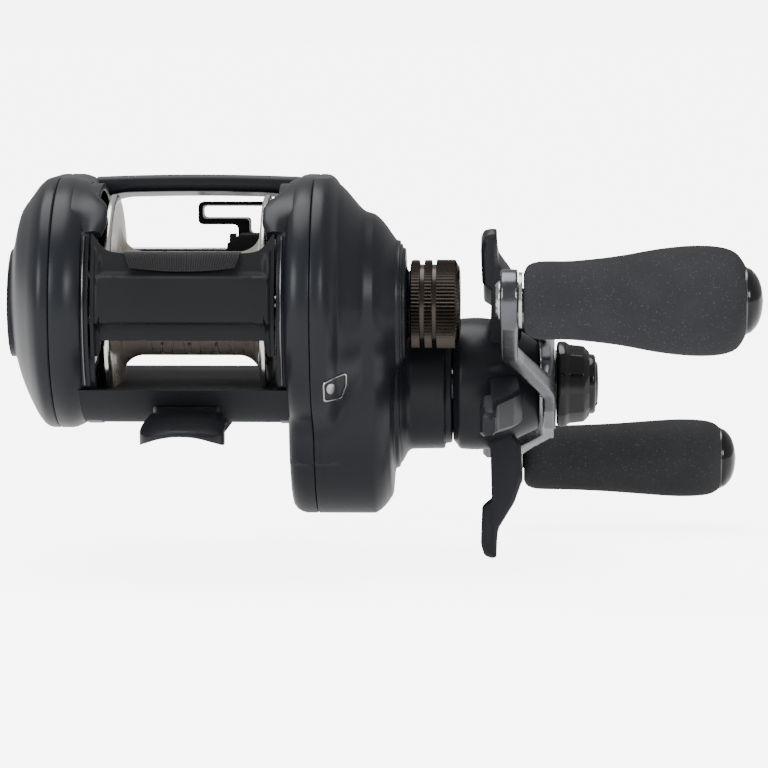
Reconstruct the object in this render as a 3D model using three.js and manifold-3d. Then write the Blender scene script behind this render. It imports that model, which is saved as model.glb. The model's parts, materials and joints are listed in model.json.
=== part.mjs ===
// Low-profile baitcasting reel, right-hand wind, with an empty spool.
// Millimetres. +X runs along the spool axis to the handle, +Y to the rod tip, +Z up.
// The origin is the middle of the foot's underside, where the reel sits on the rod.
import * as THREE from 'three';
import { mergeVertices } from 'three/addons/utils/BufferGeometryUtils.js';
import Module from 'manifold-3d';

const wasm = await Module();
wasm.setup();

// ---------------------------------------------------------------- driving dimensions

// Spool
const spoolRadius = 17;
const spoolWidth = 24.8;
const barrelRadius = 8.1;
const flangeRim = 0.9;
const flangeClearance = 0.6;
const shaftRadius = 1.25;

// Running fits, radial, and the gap between pieces that are fixed together
const running = 0.08;
const seat = 0.05;
const gap = 0.3;

// Frame
const floorThickness = 1.2;
const floorRise = 5.2;
const spoolSetback = 5;
const plateWall = 1.5;
const rimWall = 1.8;
const sideRoom = 3.1;
const leftPlateDepth = 4.7;
const rightPlateDepth = 3.9;
const roofRise = 2.7;
const rearRise = 4.75;
const skirtDrop = 0.6;
const shoulderReach = 3;

// Foot
const footLength = 60;
const footWidth = 12.8;
const footEndHeight = 0.9;
const footStemHeight = 3.3;
const rodSeatRadius = 14.8;

// Drive train
const driveModule = 0.5;
const driveTeeth = 63;
const pinionTeeth = 10;
const driveDrop = THREE.MathUtils.degToRad(-47.3);
const driveFace = 3.5;
const windModule = 0.8;
const windTeeth = 32;
const wormTeeth = 18;
const wormRise = THREE.MathUtils.degToRad(45);
const driveShaftRadius = 2.4;
const sleeveRadius = 3.6;
const clutchThrow = 1.3;

// Covers
const coverWall = 1.5;
const drumRadius = 20.6;
const drumDepth = 9.5;
const bossRadius = 10.4;
const bossEnd = 20.1;
const neckRadius = 5.1;
const palmDepth = 8.1;

// Spool tension cap
const capRadius = 6.9;
const capLength = 7.75;

// Handle
const crankReach = 45;
const crankThickness = 2.6;
const crankAngle = THREE.MathUtils.degToRad(159.5);
const crankHalfWidth = 4.5;
const knobLength = 32.9;
const knobPostRadius = 1.8;
const starRadius = 27.7;
const starHubRadius = 10.5;
const starFirstArm = THREE.MathUtils.degToRad(116.7);
const nutRadius = 7.06;

// Line guide
const wormRadius = 2.4;
const guardRadius = 4.2;
const guardWall = 1;
const guideRodRadius = 1.0;
const guideOffset = 8.2;
const wingHalfWidth = 9.4;

// Clutch bar
const barHalfWidth = 13.2;
const barTop = 25.3;
const barBottom = 14.2;
const padHalfWidth = 8.9;

// ---------------------------------------------------------------- places worked out from them

const spoolAxis = {
  y: -spoolSetback,
  z: floorThickness + flangeClearance + spoolRadius,
};
const driveDistance = (driveModule * (driveTeeth + pinionTeeth)) / 2;
const driveAxis = {
  y: spoolAxis.y + driveDistance * Math.cos(driveDrop),
  z: spoolAxis.z + driveDistance * Math.sin(driveDrop),
};
const windDistance = (windModule * (windTeeth + wormTeeth)) / 2;
const wormAxis = {
  y: driveAxis.y + windDistance * Math.cos(wormRise),
  z: driveAxis.z + windDistance * Math.sin(wormRise),
};
const bay = spoolWidth / 2;
const leftFace = -bay - sideRoom;
const leftParting = leftFace - leftPlateDepth;
const rightFace = bay + sideRoom - 0.1;
const rightParting = rightFace + rightPlateDepth;
const floorTop = floorThickness + floorRise;
const roofTop = spoolAxis.z + spoolRadius + roofRise;
const rearReach = spoolRadius + rearRise;
const guideRod = { y: wormAxis.y + 0.7, z: wormAxis.z + guardRadius + guideRodRadius + 0.5 };

// Facets round a small piece, a large one and a screw
const round = 16;
const largeRound = 28;
const smallRound = 8;

// ---------------------------------------------------------------- finishes

const finish = (color, roughness, metalness) =>
  new THREE.MeshStandardMaterial({ color, roughness, metalness });
const satinBlack = () => finish(0x1b1c20, 0.42, 0.35);
const mouldedBlack = () => finish(0x17181a, 0.6, 0.0);
const glossBlack = () => finish(0x0b0b0c, 0.15, 0.2);
const rubber = () => finish(0x2b2c2e, 0.85, 0.0);
const steel = () => finish(0xb9bcc0, 0.25, 1.0);
const darkSteel = () => finish(0x3a3c41, 0.28, 0.9);
const bronzeBlack = () => finish(0x2a241f, 0.35, 0.8);
const spoolAlloy = () => finish(0x54504c, 0.35, 0.9);
const brass = () => finish(0xb59a58, 0.3, 1.0);
const acetal = () => finish(0xd8d8d2, 0.5, 0.0);
const carbon = () => finish(0x222222, 0.7, 0.0);
const magnet = () => finish(0x8a8a90, 0.35, 1.0);

// ---------------------------------------------------------------- solids

// A closed triangle mesh becomes a solid, turned the right way out.
function solidOf(geometry) {
  const bare = geometry.clone();
  bare.deleteAttribute('normal');
  bare.deleteAttribute('uv');
  const merged = mergeVertices(bare, 1e-4);
  const place = merged.getAttribute('position');
  const corners = merged.getIndex().array;
  const triangles = [];
  const [a, b, c] = [new THREE.Vector3(), new THREE.Vector3(), new THREE.Vector3()];
  let volume = 0;
  for (let i = 0; i < corners.length; i += 3) {
    const [p, q, r] = corners.slice(i, i + 3);
    if (p === q || q === r || r === p) continue;
    triangles.push([p, q, r]);
    a.fromBufferAttribute(place, p);
    b.fromBufferAttribute(place, q);
    c.fromBufferAttribute(place, r);
    volume += a.dot(b.cross(c));
  }
  const outward = volume > 0 ? triangles : triangles.map(([p, q, r]) => [p, r, q]);
  const mesh = new wasm.Mesh({
    numProp: 3,
    vertProperties: new Float32Array(place.array),
    triVerts: new Uint32Array(outward.flat()),
  });
  return new wasm.Manifold(mesh);
}

function join(first, ...others) {
  return others.reduce((sum, next) => sum.add(next), first);
}

function cut(first, ...tools) {
  return tools.reduce((rest, tool) => rest.subtract(tool), first);
}

function common(first, ...others) {
  return others.reduce((sum, next) => sum.intersect(next), first);
}

function meshOf(name, solid, material) {
  const { vertProperties, triVerts } = solid.getMesh();
  const geometry = new THREE.BufferGeometry();
  geometry.setAttribute('position', new THREE.BufferAttribute(new Float32Array(vertProperties), 3));
  geometry.setIndex(new THREE.BufferAttribute(new Uint32Array(triVerts), 1));
  geometry.computeVertexNormals();
  const mesh = new THREE.Mesh(geometry, material);
  mesh.name = name;
  return mesh;
}

const sideways = new THREE.Matrix4().set(0, 0, 1, 0, 1, 0, 0, 0, 0, 1, 0, 0, 0, 0, 0, 1);
const lathed = new THREE.Matrix4().set(0, 1, 0, 0, 0, 0, 1, 0, 1, 0, 0, 0, 0, 0, 0, 1);

const points = (list) => list.map(([x, y]) => new THREE.Vector2(x, y));

// A side outline drawn in Y and Z, given its thickness along X.
function slab(outline, x0, x1) {
  const shape = outline instanceof THREE.Shape ? outline : new THREE.Shape(points(outline));
  const options = { depth: x1 - x0, bevelEnabled: false, curveSegments: 5 };
  const geometry = new THREE.ExtrudeGeometry(shape, options);
  geometry.applyMatrix4(sideways);
  geometry.translate(x0, 0, 0);
  return solidOf(geometry);
}

// A rear-view outline drawn in X and Z, given its thickness along Y.
function wall(outline, y0, y1) {
  const shape = new THREE.Shape(points(outline));
  const geometry = new THREE.ExtrudeGeometry(shape, { depth: y1 - y0, bevelEnabled: false });
  geometry.rotateX(Math.PI / 2);
  geometry.translate(0, y1, 0);
  return solidOf(geometry);
}

// A plan drawn in X and Y, given its thickness along Z.
function plan(shape, z0, z1) {
  const options = { depth: z1 - z0, bevelEnabled: false, curveSegments: 6 };
  const geometry = new THREE.ExtrudeGeometry(shape, options);
  geometry.translate(0, 0, z0);
  return solidOf(geometry);
}

function box(x0, x1, y0, y1, z0, z1) {
  const geometry = new THREE.BoxGeometry(x1 - x0, y1 - y0, z1 - z0);
  geometry.translate((x0 + x1) / 2, (y0 + y1) / 2, (z0 + z1) / 2);
  return solidOf(geometry);
}

// A profile of [x, radius] turned about a line along X through the axis.
function turned(profile, axis = { y: 0, z: 0 }, segments = round) {
  const outline = profile.map(([x, r]) => new THREE.Vector2(r, x));
  const geometry = new THREE.LatheGeometry(outline, segments);
  geometry.applyMatrix4(lathed);
  geometry.translate(0, axis.y, axis.z);
  return solidOf(geometry);
}

function rod(x0, x1, radius, axis, segments = round) {
  return turned([[x0, 0], [x0, radius], [x1, radius], [x1, 0]], axis, segments);
}

function ring(x0, x1, inner, outer, axis, segments = round) {
  const profile = [[x0, inner], [x0, outer], [x1, outer], [x1, inner], [x0, inner]];
  return turned(profile, axis, segments);
}

const away = (axis, angle, distance) => ({
  y: axis.y + distance * Math.cos(angle),
  z: axis.z + distance * Math.sin(angle),
});

// ---------------------------------------------------------------- side outline of the body

// The rear is an ellipse round the spool, the roof runs level and then falls to the nose.
function bodyShape() {
  const { y, z } = spoolAxis;
  const nose = { y: wormAxis.y + 11.5, z: wormAxis.z - 1.5 };
  const base = -skirtDrop;
  const middle = (roofTop + base) / 2;
  const shape = new THREE.Shape();
  shape.moveTo(y, base);
  shape.lineTo(wormAxis.y + 4.5, base);
  shape.bezierCurveTo(nose.y - 1, base, nose.y + 1, nose.z - 8, nose.y, nose.z);
  shape.bezierCurveTo(nose.y - 3, roofTop - 4.5, y + 25, roofTop - 0.5, y + spoolRadius, roofTop);
  shape.lineTo(y, roofTop);
  shape.absellipse(y, middle, rearReach, (roofTop - base) / 2, Math.PI / 2, 1.5 * Math.PI, false, 0);
  return shape;
}

const outlineCentre = { y: spoolAxis.y + spoolSetback, z: spoolAxis.z + 3 };
const outlineSteps = 32;

// Distance from the outline's centre to the body's edge at each step round it.
const outlineReach = (() => {
  const edge = bodyShape().getPoints(16);
  const reach = [];
  for (let step = 0; step < outlineSteps; step += 1) {
    const angle = (step / outlineSteps) * 2 * Math.PI;
    const [dy, dz] = [Math.cos(angle), Math.sin(angle)];
    let best = 0;
    edge.forEach((from, i) => {
      const to = edge[(i + 1) % edge.length];
      const [ay, az] = [from.x - outlineCentre.y, from.y - outlineCentre.z];
      const [by, bz] = [to.x - from.x, to.y - from.y];
      const cross = dy * bz - dz * by;
      if (Math.abs(cross) < 1e-9) return;
      const along = (ay * bz - az * by) / cross;
      const share = (ay * dz - az * dy) / cross;
      if (share >= -1e-6 && share <= 1 + 1e-6) best = Math.max(best, along);
    });
    reach.push(best);
  }
  return reach;
})();

function bodyOutline(inset) {
  return outlineReach.map((reach, step) => {
    const at = away(outlineCentre, (step / outlineSteps) * 2 * Math.PI, reach - inset);
    return [at.y, at.z];
  });
}

// A dome over the body outline: each [x, share] is a ring at that share of the outline.
function domed(profile, inset = 0) {
  const outline = profile.map(([x, share]) => new THREE.Vector2(share, x));
  const geometry = new THREE.LatheGeometry(outline, outlineSteps);
  geometry.applyMatrix4(lathed);
  const place = geometry.getAttribute('position');
  for (let i = 0; i < place.count; i += 1) {
    const [y, z] = [place.getY(i), place.getZ(i)];
    const share = Math.hypot(y, z);
    const turn = Math.atan2(z, y) / (2 * Math.PI);
    const step = Math.round((turn + 1) * outlineSteps) % outlineSteps;
    const reach = share * outlineReach[step] - (share > 0.01 ? inset : 0);
    const at = away(outlineCentre, (step / outlineSteps) * 2 * Math.PI, reach);
    place.setXYZ(i, place.getX(i), at.y, at.z);
  }
  return solidOf(geometry);
}

// ---------------------------------------------------------------- gears

const pressure = THREE.MathUtils.degToRad(20);
const involute = (angle) => Math.tan(angle) - angle;

// Outline of a spur gear about the origin, one tooth centred on the phase angle.
function gearOutline({ module, teeth, tip, root, thin, phase, steps }) {
  const pitch = (module * teeth) / 2;
  const base = pitch * Math.cos(pressure);
  const half = ((Math.PI * module) / 2 - thin) / (2 * pitch) + involute(pressure);
  const flank = [];
  for (let i = 0; i <= steps; i += 1) {
    const radius = root + ((tip - root) * i) / steps;
    const angle = radius > base ? half - involute(Math.acos(base / radius)) : half;
    flank.push([radius, angle]);
  }
  const outline = [];
  for (let tooth = 0; tooth < teeth; tooth += 1) {
    const centre = phase + (tooth / teeth) * 2 * Math.PI;
    const rise = flank.map(([radius, angle]) => [radius, centre - angle]);
    const fall = flank.map(([radius, angle]) => [radius, centre + angle]).reverse();
    [...rise, ...fall].forEach(([radius, angle]) => {
      outline.push([radius * Math.cos(angle), radius * Math.sin(angle)]);
    });
  }
  return outline;
}

const moved = (outline, axis) => outline.map(([y, z]) => [y + axis.y, z + axis.z]);

// ---------------------------------------------------------------- positions along the spool axis

const pinEnd = rightFace - 1.4;             // left end of the pinion
const hubEnd = rightFace + 2.5;             // right end of the frame's pinion hub
const grooveStart = hubEnd + 0.1;
const grooveEnd = grooveStart + 1.6;
const teethStart = grooveEnd + 0.8;
const coverStart = rightParting + gap;
const windGearStart = coverStart + 0.3;
const windGearEnd = windGearStart + 1.5;
const ratchetStart = windGearEnd + 0.1;
const ratchetEnd = ratchetStart + 0.8;
const gearStart = ratchetEnd + 0.15;
const gearEnd = gearStart + driveFace;
const drumEnd = coverStart + drumDepth - 0.25;
const drumInnerEnd = drumEnd - 1.7;
const teethEnd = gearEnd + clutchThrow + 0.3;
const pinionBearingStart = drumEnd + 0.1;
const pinionBearingEnd = pinionBearingStart + 2;
const ringStart = drumEnd + 3.4;
const neckStart = drumEnd + 4.7;
const capStart = neckStart + 0.6;
const capEnd = capStart + capLength;
const bossFace = rightParting + bossEnd;
const starStart = bossFace + 1.25;
const starHubEnd = starStart + 7.9;
const crankPlate = starHubEnd - 0.25;
const crankCentre = crankPlate + 6.45;
const crankOuter = crankCentre + 1.9;
const knobStart = crankPlate + crankThickness + 0.85;
const knobEnd = knobStart + knobLength;
const nutEnd = crankOuter + gap + 5.2;

// ---------------------------------------------------------------- screws

const gearScrews = {
  upper: { y: wormAxis.y - 7.5, z: wormAxis.z + 13.6 },
  lower: { y: wormAxis.y + 8.2, z: wormAxis.z - 6.5 },
};
const palmScrew = gearScrews.lower;
const screwShank = 0.8;
const screwHead = 1.6;
const screwSeat = coverStart + 1.4;

// ---------------------------------------------------------------- frame, with the foot

const openingRadius = spoolRadius + flangeClearance;

function footSolid() {
  const half = footLength / 2;
  const side = footWidth / 2;
  const ramp = half - 13;
  const below = -2;
  const profile = [
    [-half, below], [half, below], [half, footEndHeight], [ramp, footStemHeight],
    [-ramp, footStemHeight], [-half, footEndHeight],
  ];
  const corner = 4;
  const outline = new THREE.Shape();
  outline.moveTo(-side, -half + corner);
  outline.quadraticCurveTo(-side, -half, -side + corner, -half);
  outline.lineTo(side - corner, -half);
  outline.quadraticCurveTo(side, -half, side, -half + corner);
  outline.lineTo(side, half - corner);
  outline.quadraticCurveTo(side, half, side - corner, half);
  outline.lineTo(-side + corner, half);
  outline.quadraticCurveTo(-side, half, -side, half - corner);
  const blank = common(slab(profile, -side, side), plan(outline, below, footStemHeight));
  return cut(blank, rodBlank());
}

// The rod under the foot, as flats that touch its circle, one of them level.
function rodBlank() {
  const flats = 5;
  const span = 2 * Math.asin(footWidth / 2 / rodSeatRadius) * 1.02;
  const step = span / flats;
  const corner = rodSeatRadius / Math.cos(step / 2);
  const outline = [];
  for (let i = 0; i <= flats; i += 1) {
    const angle = Math.PI / 2 + span / 2 - i * step;
    outline.push([corner * Math.cos(angle), corner * Math.sin(angle) - rodSeatRadius]);
  }
  outline.push([footWidth, -rodSeatRadius], [-footWidth, -rodSeatRadius]);
  return wall(outline.reverse(), -footLength, footLength);
}

// Shoulder that closes the corner of the bay over a spool flange, on either side.
function shoulder(side) {
  const face = side < 0 ? -leftFace : rightFace;
  const top = roofTop - 0.2;
  const outline = [
    [face + 0.5, top - 7.6], [face - 2, top - 7.2], [face - shoulderReach, top - 6.2],
    [face - shoulderReach, top - 2.6], [face - 2.2, top - 1.8], [face + 0.5, top - 0.9],
  ].map(([x, z]) => [side * x, z]);
  const curtain = wall(outline, spoolAxis.y - rearReach, spoolAxis.y + 9);
  const shell = cut(
    slab(bodyOutline(0), leftFace - 1, rightFace + 1),
    rod(leftFace - 2, rightFace + 2, openingRadius + 0.3, spoolAxis, largeRound),
  );
  return common(curtain, shell);
}

function makeFrame() {
  const leftPan = slab(bodyOutline(rimWall), leftParting - 1, leftFace - plateWall);
  const leftPlate = cut(slab(bodyOutline(0), leftParting, leftFace), leftPan);
  const drum = rod(rightFace, rightParting, drumRadius, driveAxis, largeRound);
  const rightPan = join(
    slab(bodyOutline(rimWall), rightFace + plateWall, rightParting + 1),
    rod(rightFace + plateWall, rightParting + 1, drumRadius - rimWall, driveAxis, largeRound),
  );
  const rightPlate = cut(join(slab(bodyOutline(0), rightFace, rightParting), drum), rightPan);
  const floor = common(
    slab(bodyOutline(0.3), leftFace - 1, rightFace + 1),
    box(leftFace - 1, rightFace + 1, -footLength, footLength, 0.3, floorTop),
  );
  const collarOuter = openingRadius + 1.1;
  const collarRoom = box(-30, 30, -40, spoolAxis.y - spoolRadius + 0.4, -10, 50);
  const leftCollar = cut(
    ring(leftFace - 1, leftFace + 1.9, openingRadius, collarOuter, spoolAxis, largeRound), collarRoom,
  );
  const rightCollar = cut(
    ring(rightFace - 1.4, rightFace + 1, openingRadius, collarOuter, spoolAxis, largeRound), collarRoom,
  );
  const hub = rod(rightFace - 2, hubEnd, 5.6, spoolAxis);
  const driveBoss = rod(rightFace + 1, rightParting - 0.1, 6.4, driveAxis);
  const wormBosses = join(
    rod(rightFace + 1, rightFace + 3.2, 4.2, wormAxis),
    rod(leftFace - 3.2, leftFace - 1, 4.2, wormAxis),
  );
  const wingRoom = (x0, x1) =>
    box(x0, x1, guideRod.y + 1.4, guideRod.y + 30, guideRod.z + 2.2, roofTop - 3.9);
  const screwPosts = [
    ...Object.values(gearScrews).map((place) => rod(rightFace + 1, rightParting, 2.3, place, smallRound)),
    rod(leftParting, leftFace - 1, 2.3, palmScrew, smallRound),
  ];
  const yokePosts = yokePostPlaces().map((place) =>
    rod(rightFace + 1, postEnd, yokePostRadius, place, smallRound));
  const pawlPin = rod(rightFace + 1, ratchetEnd, pawlPinRadius, pawlPivot, smallRound);
  const body = cut(
    join(leftPlate, rightPlate, floor, footSolid(), leftCollar, rightCollar),
    rod(leftParting - 2, 0, openingRadius, spoolAxis, largeRound),
    rod(leftFace + 2, rightFace - 0.1, openingRadius, spoolAxis, largeRound),
    wingRoom(leftFace - 2.7, 0),
    wingRoom(0, rightFace + 2.7),
  );
  const dressed = join(
    body, shoulder(-1), shoulder(1), hub, driveBoss, wormBosses, pawlPin, ...yokePosts, ...screwPosts,
  );
  const bores = [
    rod(rightFace - 3, rightFace - 1.6, 2.6, spoolAxis),
    rod(rightFace - 1.7, hubEnd + 1, pinionBearingRadius + seat, spoolAxis),
    rod(rightFace + 1.9, rightParting + 1, innerBearingRadius + seat, driveAxis),
    rod(rightFace - 1, rightFace + 1, guideRodRadius + seat, guideRod),
    rod(leftFace - 3, leftFace + 1, guideRodRadius + seat, guideRod),
    rod(rightFace - 1, rightFace + 4, bushRadius + seat, wormAxis),
    rod(leftFace - 4, leftFace + 1, bushRadius + seat, wormAxis),
    ...Object.values(gearScrews).map((place) =>
      rod(rightFace + 1.6, rightParting + 1, screwShank + seat, place, smallRound)),
    rod(leftParting - 1, leftFace - 1.6, screwShank + seat, palmScrew, smallRound),
  ];
  return cut(dressed, ...bores);
}

const pinionBearingRadius = 4.2;
const innerBearingRadius = 5;
const bushRadius = guardRadius - guardWall - gap;
const yokePostRadius = 0.8;
const pawlPinRadius = 0.8;
const postEnd = grooveEnd + clutchThrow + 2.1;

function yokePostPlaces() {
  const across = driveDrop + Math.PI / 2;
  return [away(spoolAxis, across, 8.5), away(spoolAxis, across + Math.PI, 8.5)];
}

// Bar across the front of the roof, over the line guide.
function makeHood() {
  const y = spoolAxis.y + 15;
  const profile = [
    [y, roofTop - 3.1], [y + 13, roofTop - 4.3], [y + 14.2, roofTop - 3.9],
    [y + 14, roofTop - 2.9], [y + 10, roofTop - 1.5], [y + 4, roofTop - 0.5], [y, roofTop - 0.4],
    [y - 0.8, roofTop - 1.2], [y - 0.8, roofTop - 2.4],
  ];
  return slab(profile, leftFace + gap, rightFace - gap);
}

// ---------------------------------------------------------------- palm side

const palmStart = leftParting - gap;
const palmCrown = palmStart - palmDepth;
const hubRadius = 5.2;
const leftBearingRadius = 4;
const dialRadius = 8;
const dialFace = palmCrown + 1.3;
const holderRadius = 10.3;

function makePalmCover() {
  const profile = [
    [0, 1], [1.6, 0.994], [3.1, 0.93], [4.7, 0.82], [6.3, 0.685], [7.7, 0.42], [8.1, 0],
  ].map(([depth, share]) => [palmStart - (depth * palmDepth) / 8.1, share]);
  const outer = domed([[palmStart, 0], ...profile]);
  const innerProfile = profile.map(([x, share]) => [x + coverWall, share]);
  const domeRoom = domed([[palmStart + 3, 0], [palmStart + 3, 1], ...innerProfile], coverWall * 0.9);
  const plateRadius = openingRadius - gap;
  const wallInner = plateRadius - 1.3;
  const positive = join(
    outer,
    rod(palmStart - 0.5, leftFace - 0.5, plateRadius, spoolAxis, largeRound),
    rod(leftFace - 1, leftFace + 1.3, hubRadius - 0.1, spoolAxis),
  );
  const room = cut(
    join(
      domeRoom,
      rod(palmStart - 0.6, leftFace - 1.6, wallInner + 0.6, spoolAxis, largeRound),
      rod(leftFace - 1.8, leftFace - 0.2, holderRadius + 0.5, spoolAxis, largeRound),
    ),
    ring(palmCrown - 1, leftFace - 0.9, wallInner, plateRadius + 1, spoolAxis, largeRound),
    rod(palmCrown - 1, leftFace, hubRadius, spoolAxis),
    rod(palmCrown - 1, dialFace + 2.7, dialRadius + 1.8, spoolAxis),
    rod(palmCrown - 1, palmStart + 0.1, 2.4, palmScrew, smallRound),
  );
  return cut(
    positive,
    room,
    rod(palmCrown - 1, dialFace + 1.2, dialRadius + 0.3, spoolAxis, largeRound),
    rod(palmCrown - 1, leftFace - 3, 1.6, spoolAxis),
    rod(leftFace - 3.5, leftFace, 2, spoolAxis),
    rod(leftFace - 1, leftFace + 3, leftBearingRadius + seat, spoolAxis),
    rod(palmCrown - 1, palmStart + 1, screwShank + seat, palmScrew, smallRound),
    rod(palmCrown - 1, palmStart - 1.6, screwHead + 0.2, palmScrew, smallRound),
  );
}

function makeDial() {
  const knurl = [];
  const flutes = 32;
  for (let i = 0; i < flutes * 2; i += 1) {
    const at = away({ y: 0, z: 0 }, (i / flutes) * Math.PI, i % 2 ? dialRadius - 0.25 : dialRadius);
    knurl.push([at.y, at.z]);
  }
  const disc = slab(moved(knurl, spoolAxis), palmCrown - 0.25, dialFace + 0.9);
  const stem = rod(dialFace, leftFace - 4, 1.5, spoolAxis);
  const bar = box(palmCrown - 1, palmCrown + 0.5, spoolAxis.y - 6.4, spoolAxis.y + 6.4,
    spoolAxis.z + 1, spoolAxis.z + 8);
  const lower = box(palmCrown - 1, palmCrown + 0.5, spoolAxis.y - 6.4, spoolAxis.y + 6.4,
    spoolAxis.z - 8, spoolAxis.z - 1);
  return cut(join(disc, stem), bar, lower);
}

const holderFace = leftFace + 0.4;
const magnetInner = 7.9;
const magnetOuter = 9.7;

function makeMagnetHolder() {
  const profile = [
    [holderFace, 7.3], [holderFace, holderRadius], [holderFace - 5.6, holderRadius],
    [holderFace - 5.6, hubRadius + 0.1], [holderFace - 4.2, hubRadius + 0.1],
    [holderFace - 4.2, 7.3], [holderFace, 7.3],
  ];
  const groove = ring(
    holderFace - 2, holderFace + 1, magnetInner - seat, magnetOuter + seat, spoolAxis,
  );
  return cut(turned(profile, spoolAxis), groove);
}

function makeMagnetRing() {
  return ring(holderFace - 1.9, holderFace - 0.1, magnetInner, magnetOuter, spoolAxis);
}

function makeBrakeRotor() {
  const face = -bay - 0.2;
  const profile = [
    [face, shaftRadius + seat], [face, 6.8], [face - 3.6, 6.8], [face - 3.6, 6.2],
    [face - 0.7, 6.2], [face - 0.7, shaftRadius + seat], [face, shaftRadius + seat],
  ];
  return turned(profile, spoolAxis, largeRound);
}

// ---------------------------------------------------------------- spool

function makeSpool() {
  const lip = bay;
  const inner = barrelRadius - 0.8;
  const bore = shaftRadius + seat;
  const outside = [
    [lip, spoolRadius - 0.8], [lip, spoolRadius], [lip - flangeRim, spoolRadius],
    [lip - 1.1, spoolRadius - 0.8], [lip - 1.5, barrelRadius + 2.9], [lip - 2.2, barrelRadius + 1.1],
    [lip - 4.4, barrelRadius],
  ];
  const mirrored = outside.map(([x, r]) => [-x, r]).reverse();
  const profile = [
    ...outside, ...mirrored,
    [-lip + 0.8, inner + 3], [-lip + 3.2, inner], [1.2, inner], [1.2, 2.6], [-lip + 3.4, 2.6], [-lip + 3.4, bore],
    [lip - 3.4, bore], [lip - 3.4, 2.6], [3.2, 2.6], [3.2, inner], [lip - 3.2, inner],
    [lip - 0.8, inner + 3], [lip, spoolRadius - 0.8],
  ];
  return turned(profile, spoolAxis, largeRound);
}

function makeSpoolShaft() {
  const shaft = rod(leftFace - 0.9, capEnd - 2.2, shaftRadius, spoolAxis);
  const pin = rod(-2, 2, 0.5, { y: 0, z: 0 }, smallRound).rotate([0, 90, 0])
    .translate([pinEnd + 0.55, spoolAxis.y, spoolAxis.z]);
  return join(shaft, pin);
}

// ---------------------------------------------------------------- pinion and clutch

function makePinion() {
  const tip = (driveModule * pinionTeeth) / 2 + 0.5;
  const outline = gearOutline({
    module: driveModule, teeth: pinionTeeth, tip, root: 2.08, thin: 0.06, steps: 3,
    phase: driveDrop,
  });
  const toothed = slab(moved(outline, spoolAxis), teethStart, teethEnd);
  const body = turned([
    [pinEnd, 0], [pinEnd, 2.4], [grooveStart, 2.4], [grooveStart, 1.9], [grooveEnd, 1.9],
    [grooveEnd, 2.9], [teethStart + 0.1, 2.9], [teethStart + 0.1, 2], [teethEnd - 0.1, 2],
    [teethEnd - 0.1, 1.9], [pinionBearingEnd - 0.3, 1.9], [pinionBearingEnd - 0.3, 0],
  ], spoolAxis);
  const slot = box(pinEnd - 1, pinEnd + 1.25, spoolAxis.y - 0.65, spoolAxis.y + 0.65,
    spoolAxis.z - 4, spoolAxis.z + 4);
  return cut(
    join(toothed, body),
    rod(pinEnd - 1, pinionBearingEnd + 1, shaftRadius + 0.1, spoolAxis),
    slot,
  );
}

function makeYoke() {
  const across = driveDrop + Math.PI / 2;
  const start = grooveStart + 0.2;
  const end = grooveEnd - 0.2;
  const turn = THREE.MathUtils.radToDeg(across);
  const bar = box(start, end, -8.5, 8.5, -3.3, 4.4);
  const ends = join(rod(start, end, 2.6, { y: 8.5, z: 0 }), rod(start, end, 2.6, { y: -8.5, z: 0 }));
  const mouth = join(
    rod(start - 1, end + 1, 2.1, { y: 0, z: 0 }),
    box(start - 1, end + 1, -2.1, 2.1, -6, 0),
  );
  const holes = [8.5, -8.5].map((y) => rod(start - 1, end + 1, yokePostRadius + 0.1, { y, z: 0 }, smallRound));
  return cut(join(bar, ends), mouth, ...holes)
    .rotate([turn, 0, 0])
    .translate([0, spoolAxis.y, spoolAxis.z]);
}

// Coil spring on a yoke post that pushes the pinion back into mesh.
function makeYokeSpring(place) {
  const coils = 3;
  const wire = 0.22;
  const start = grooveEnd - 0.2 + wire + 0.05;
  const end = postEnd - wire;
  const route = [];
  for (let i = 0; i <= coils * 8; i += 1) {
    const at = away(place, (i / 8) * 2 * Math.PI, yokePostRadius + wire + 0.15);
    route.push(new THREE.Vector3(start + ((end - start) * i) / (coils * 8), at.y, at.z));
  }
  const section = new THREE.Shape();
  section.absarc(0, 0, wire, 0, 2 * Math.PI, false);
  return solidOf(new THREE.ExtrudeGeometry(section, {
    extrudePath: new THREE.CatmullRomCurve3(route), steps: coils * 9, curveSegments: 2,
  }));
}

function makeClutchCam() {
  const start = rightFace + plateWall + 0.1;
  const disc = ring(start, start + 0.5, 5.85, 7.5, spoolAxis);
  const ramps = [0, Math.PI].map((turn) => {
    const at = away(spoolAxis, driveDrop + turn, 6.7);
    return rod(start + 0.3, start + 0.85, 0.7, at, smallRound);
  });
  return join(disc, ...ramps);
}

function makeClutchBar() {
  const wide = barHalfWidth;
  const edge = wide + 0.75;
  const top = barTop + 5.1;
  const outline = [
    [-wide + 0.8, barBottom], [wide - 0.8, barBottom], [wide - 0.4, barBottom - 2.4],
    [edge, barBottom - 2.4], [edge, top], [edge - 0.7, top], [edge - 3, top - 3.4],
    [padHalfWidth + 1, barTop + 0.3], [padHalfWidth - 0.4, barTop], [-padHalfWidth + 0.4, barTop],
    [-padHalfWidth - 1, barTop + 0.3], [-edge + 3, top - 3.4], [-edge + 0.7, top], [-edge, top],
    [-edge, barBottom - 2.4], [-wide + 0.4, barBottom - 2.4],
  ];
  return common(wall(outline, -60, barInner()), slab(bodyOutline(0.25), -20, 20));
}

const barInner = () => spoolAxis.y - spoolRadius - 0.4;

function makeThumbPad() {
  const base = barTop + gap;
  const outline = [
    [-padHalfWidth + 0.9, base], [padHalfWidth - 0.9, base], [padHalfWidth, base + 2.6],
    [-padHalfWidth, base + 2.6],
  ];
  return common(wall(outline, -60, barInner() - 0.1), slab(bodyOutline(0.15), -20, 20));
}

// ---------------------------------------------------------------- bearings and shafts

const bearing = (x0, x1, inner, outer, axis) => ring(x0, x1, inner, outer, axis);

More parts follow.
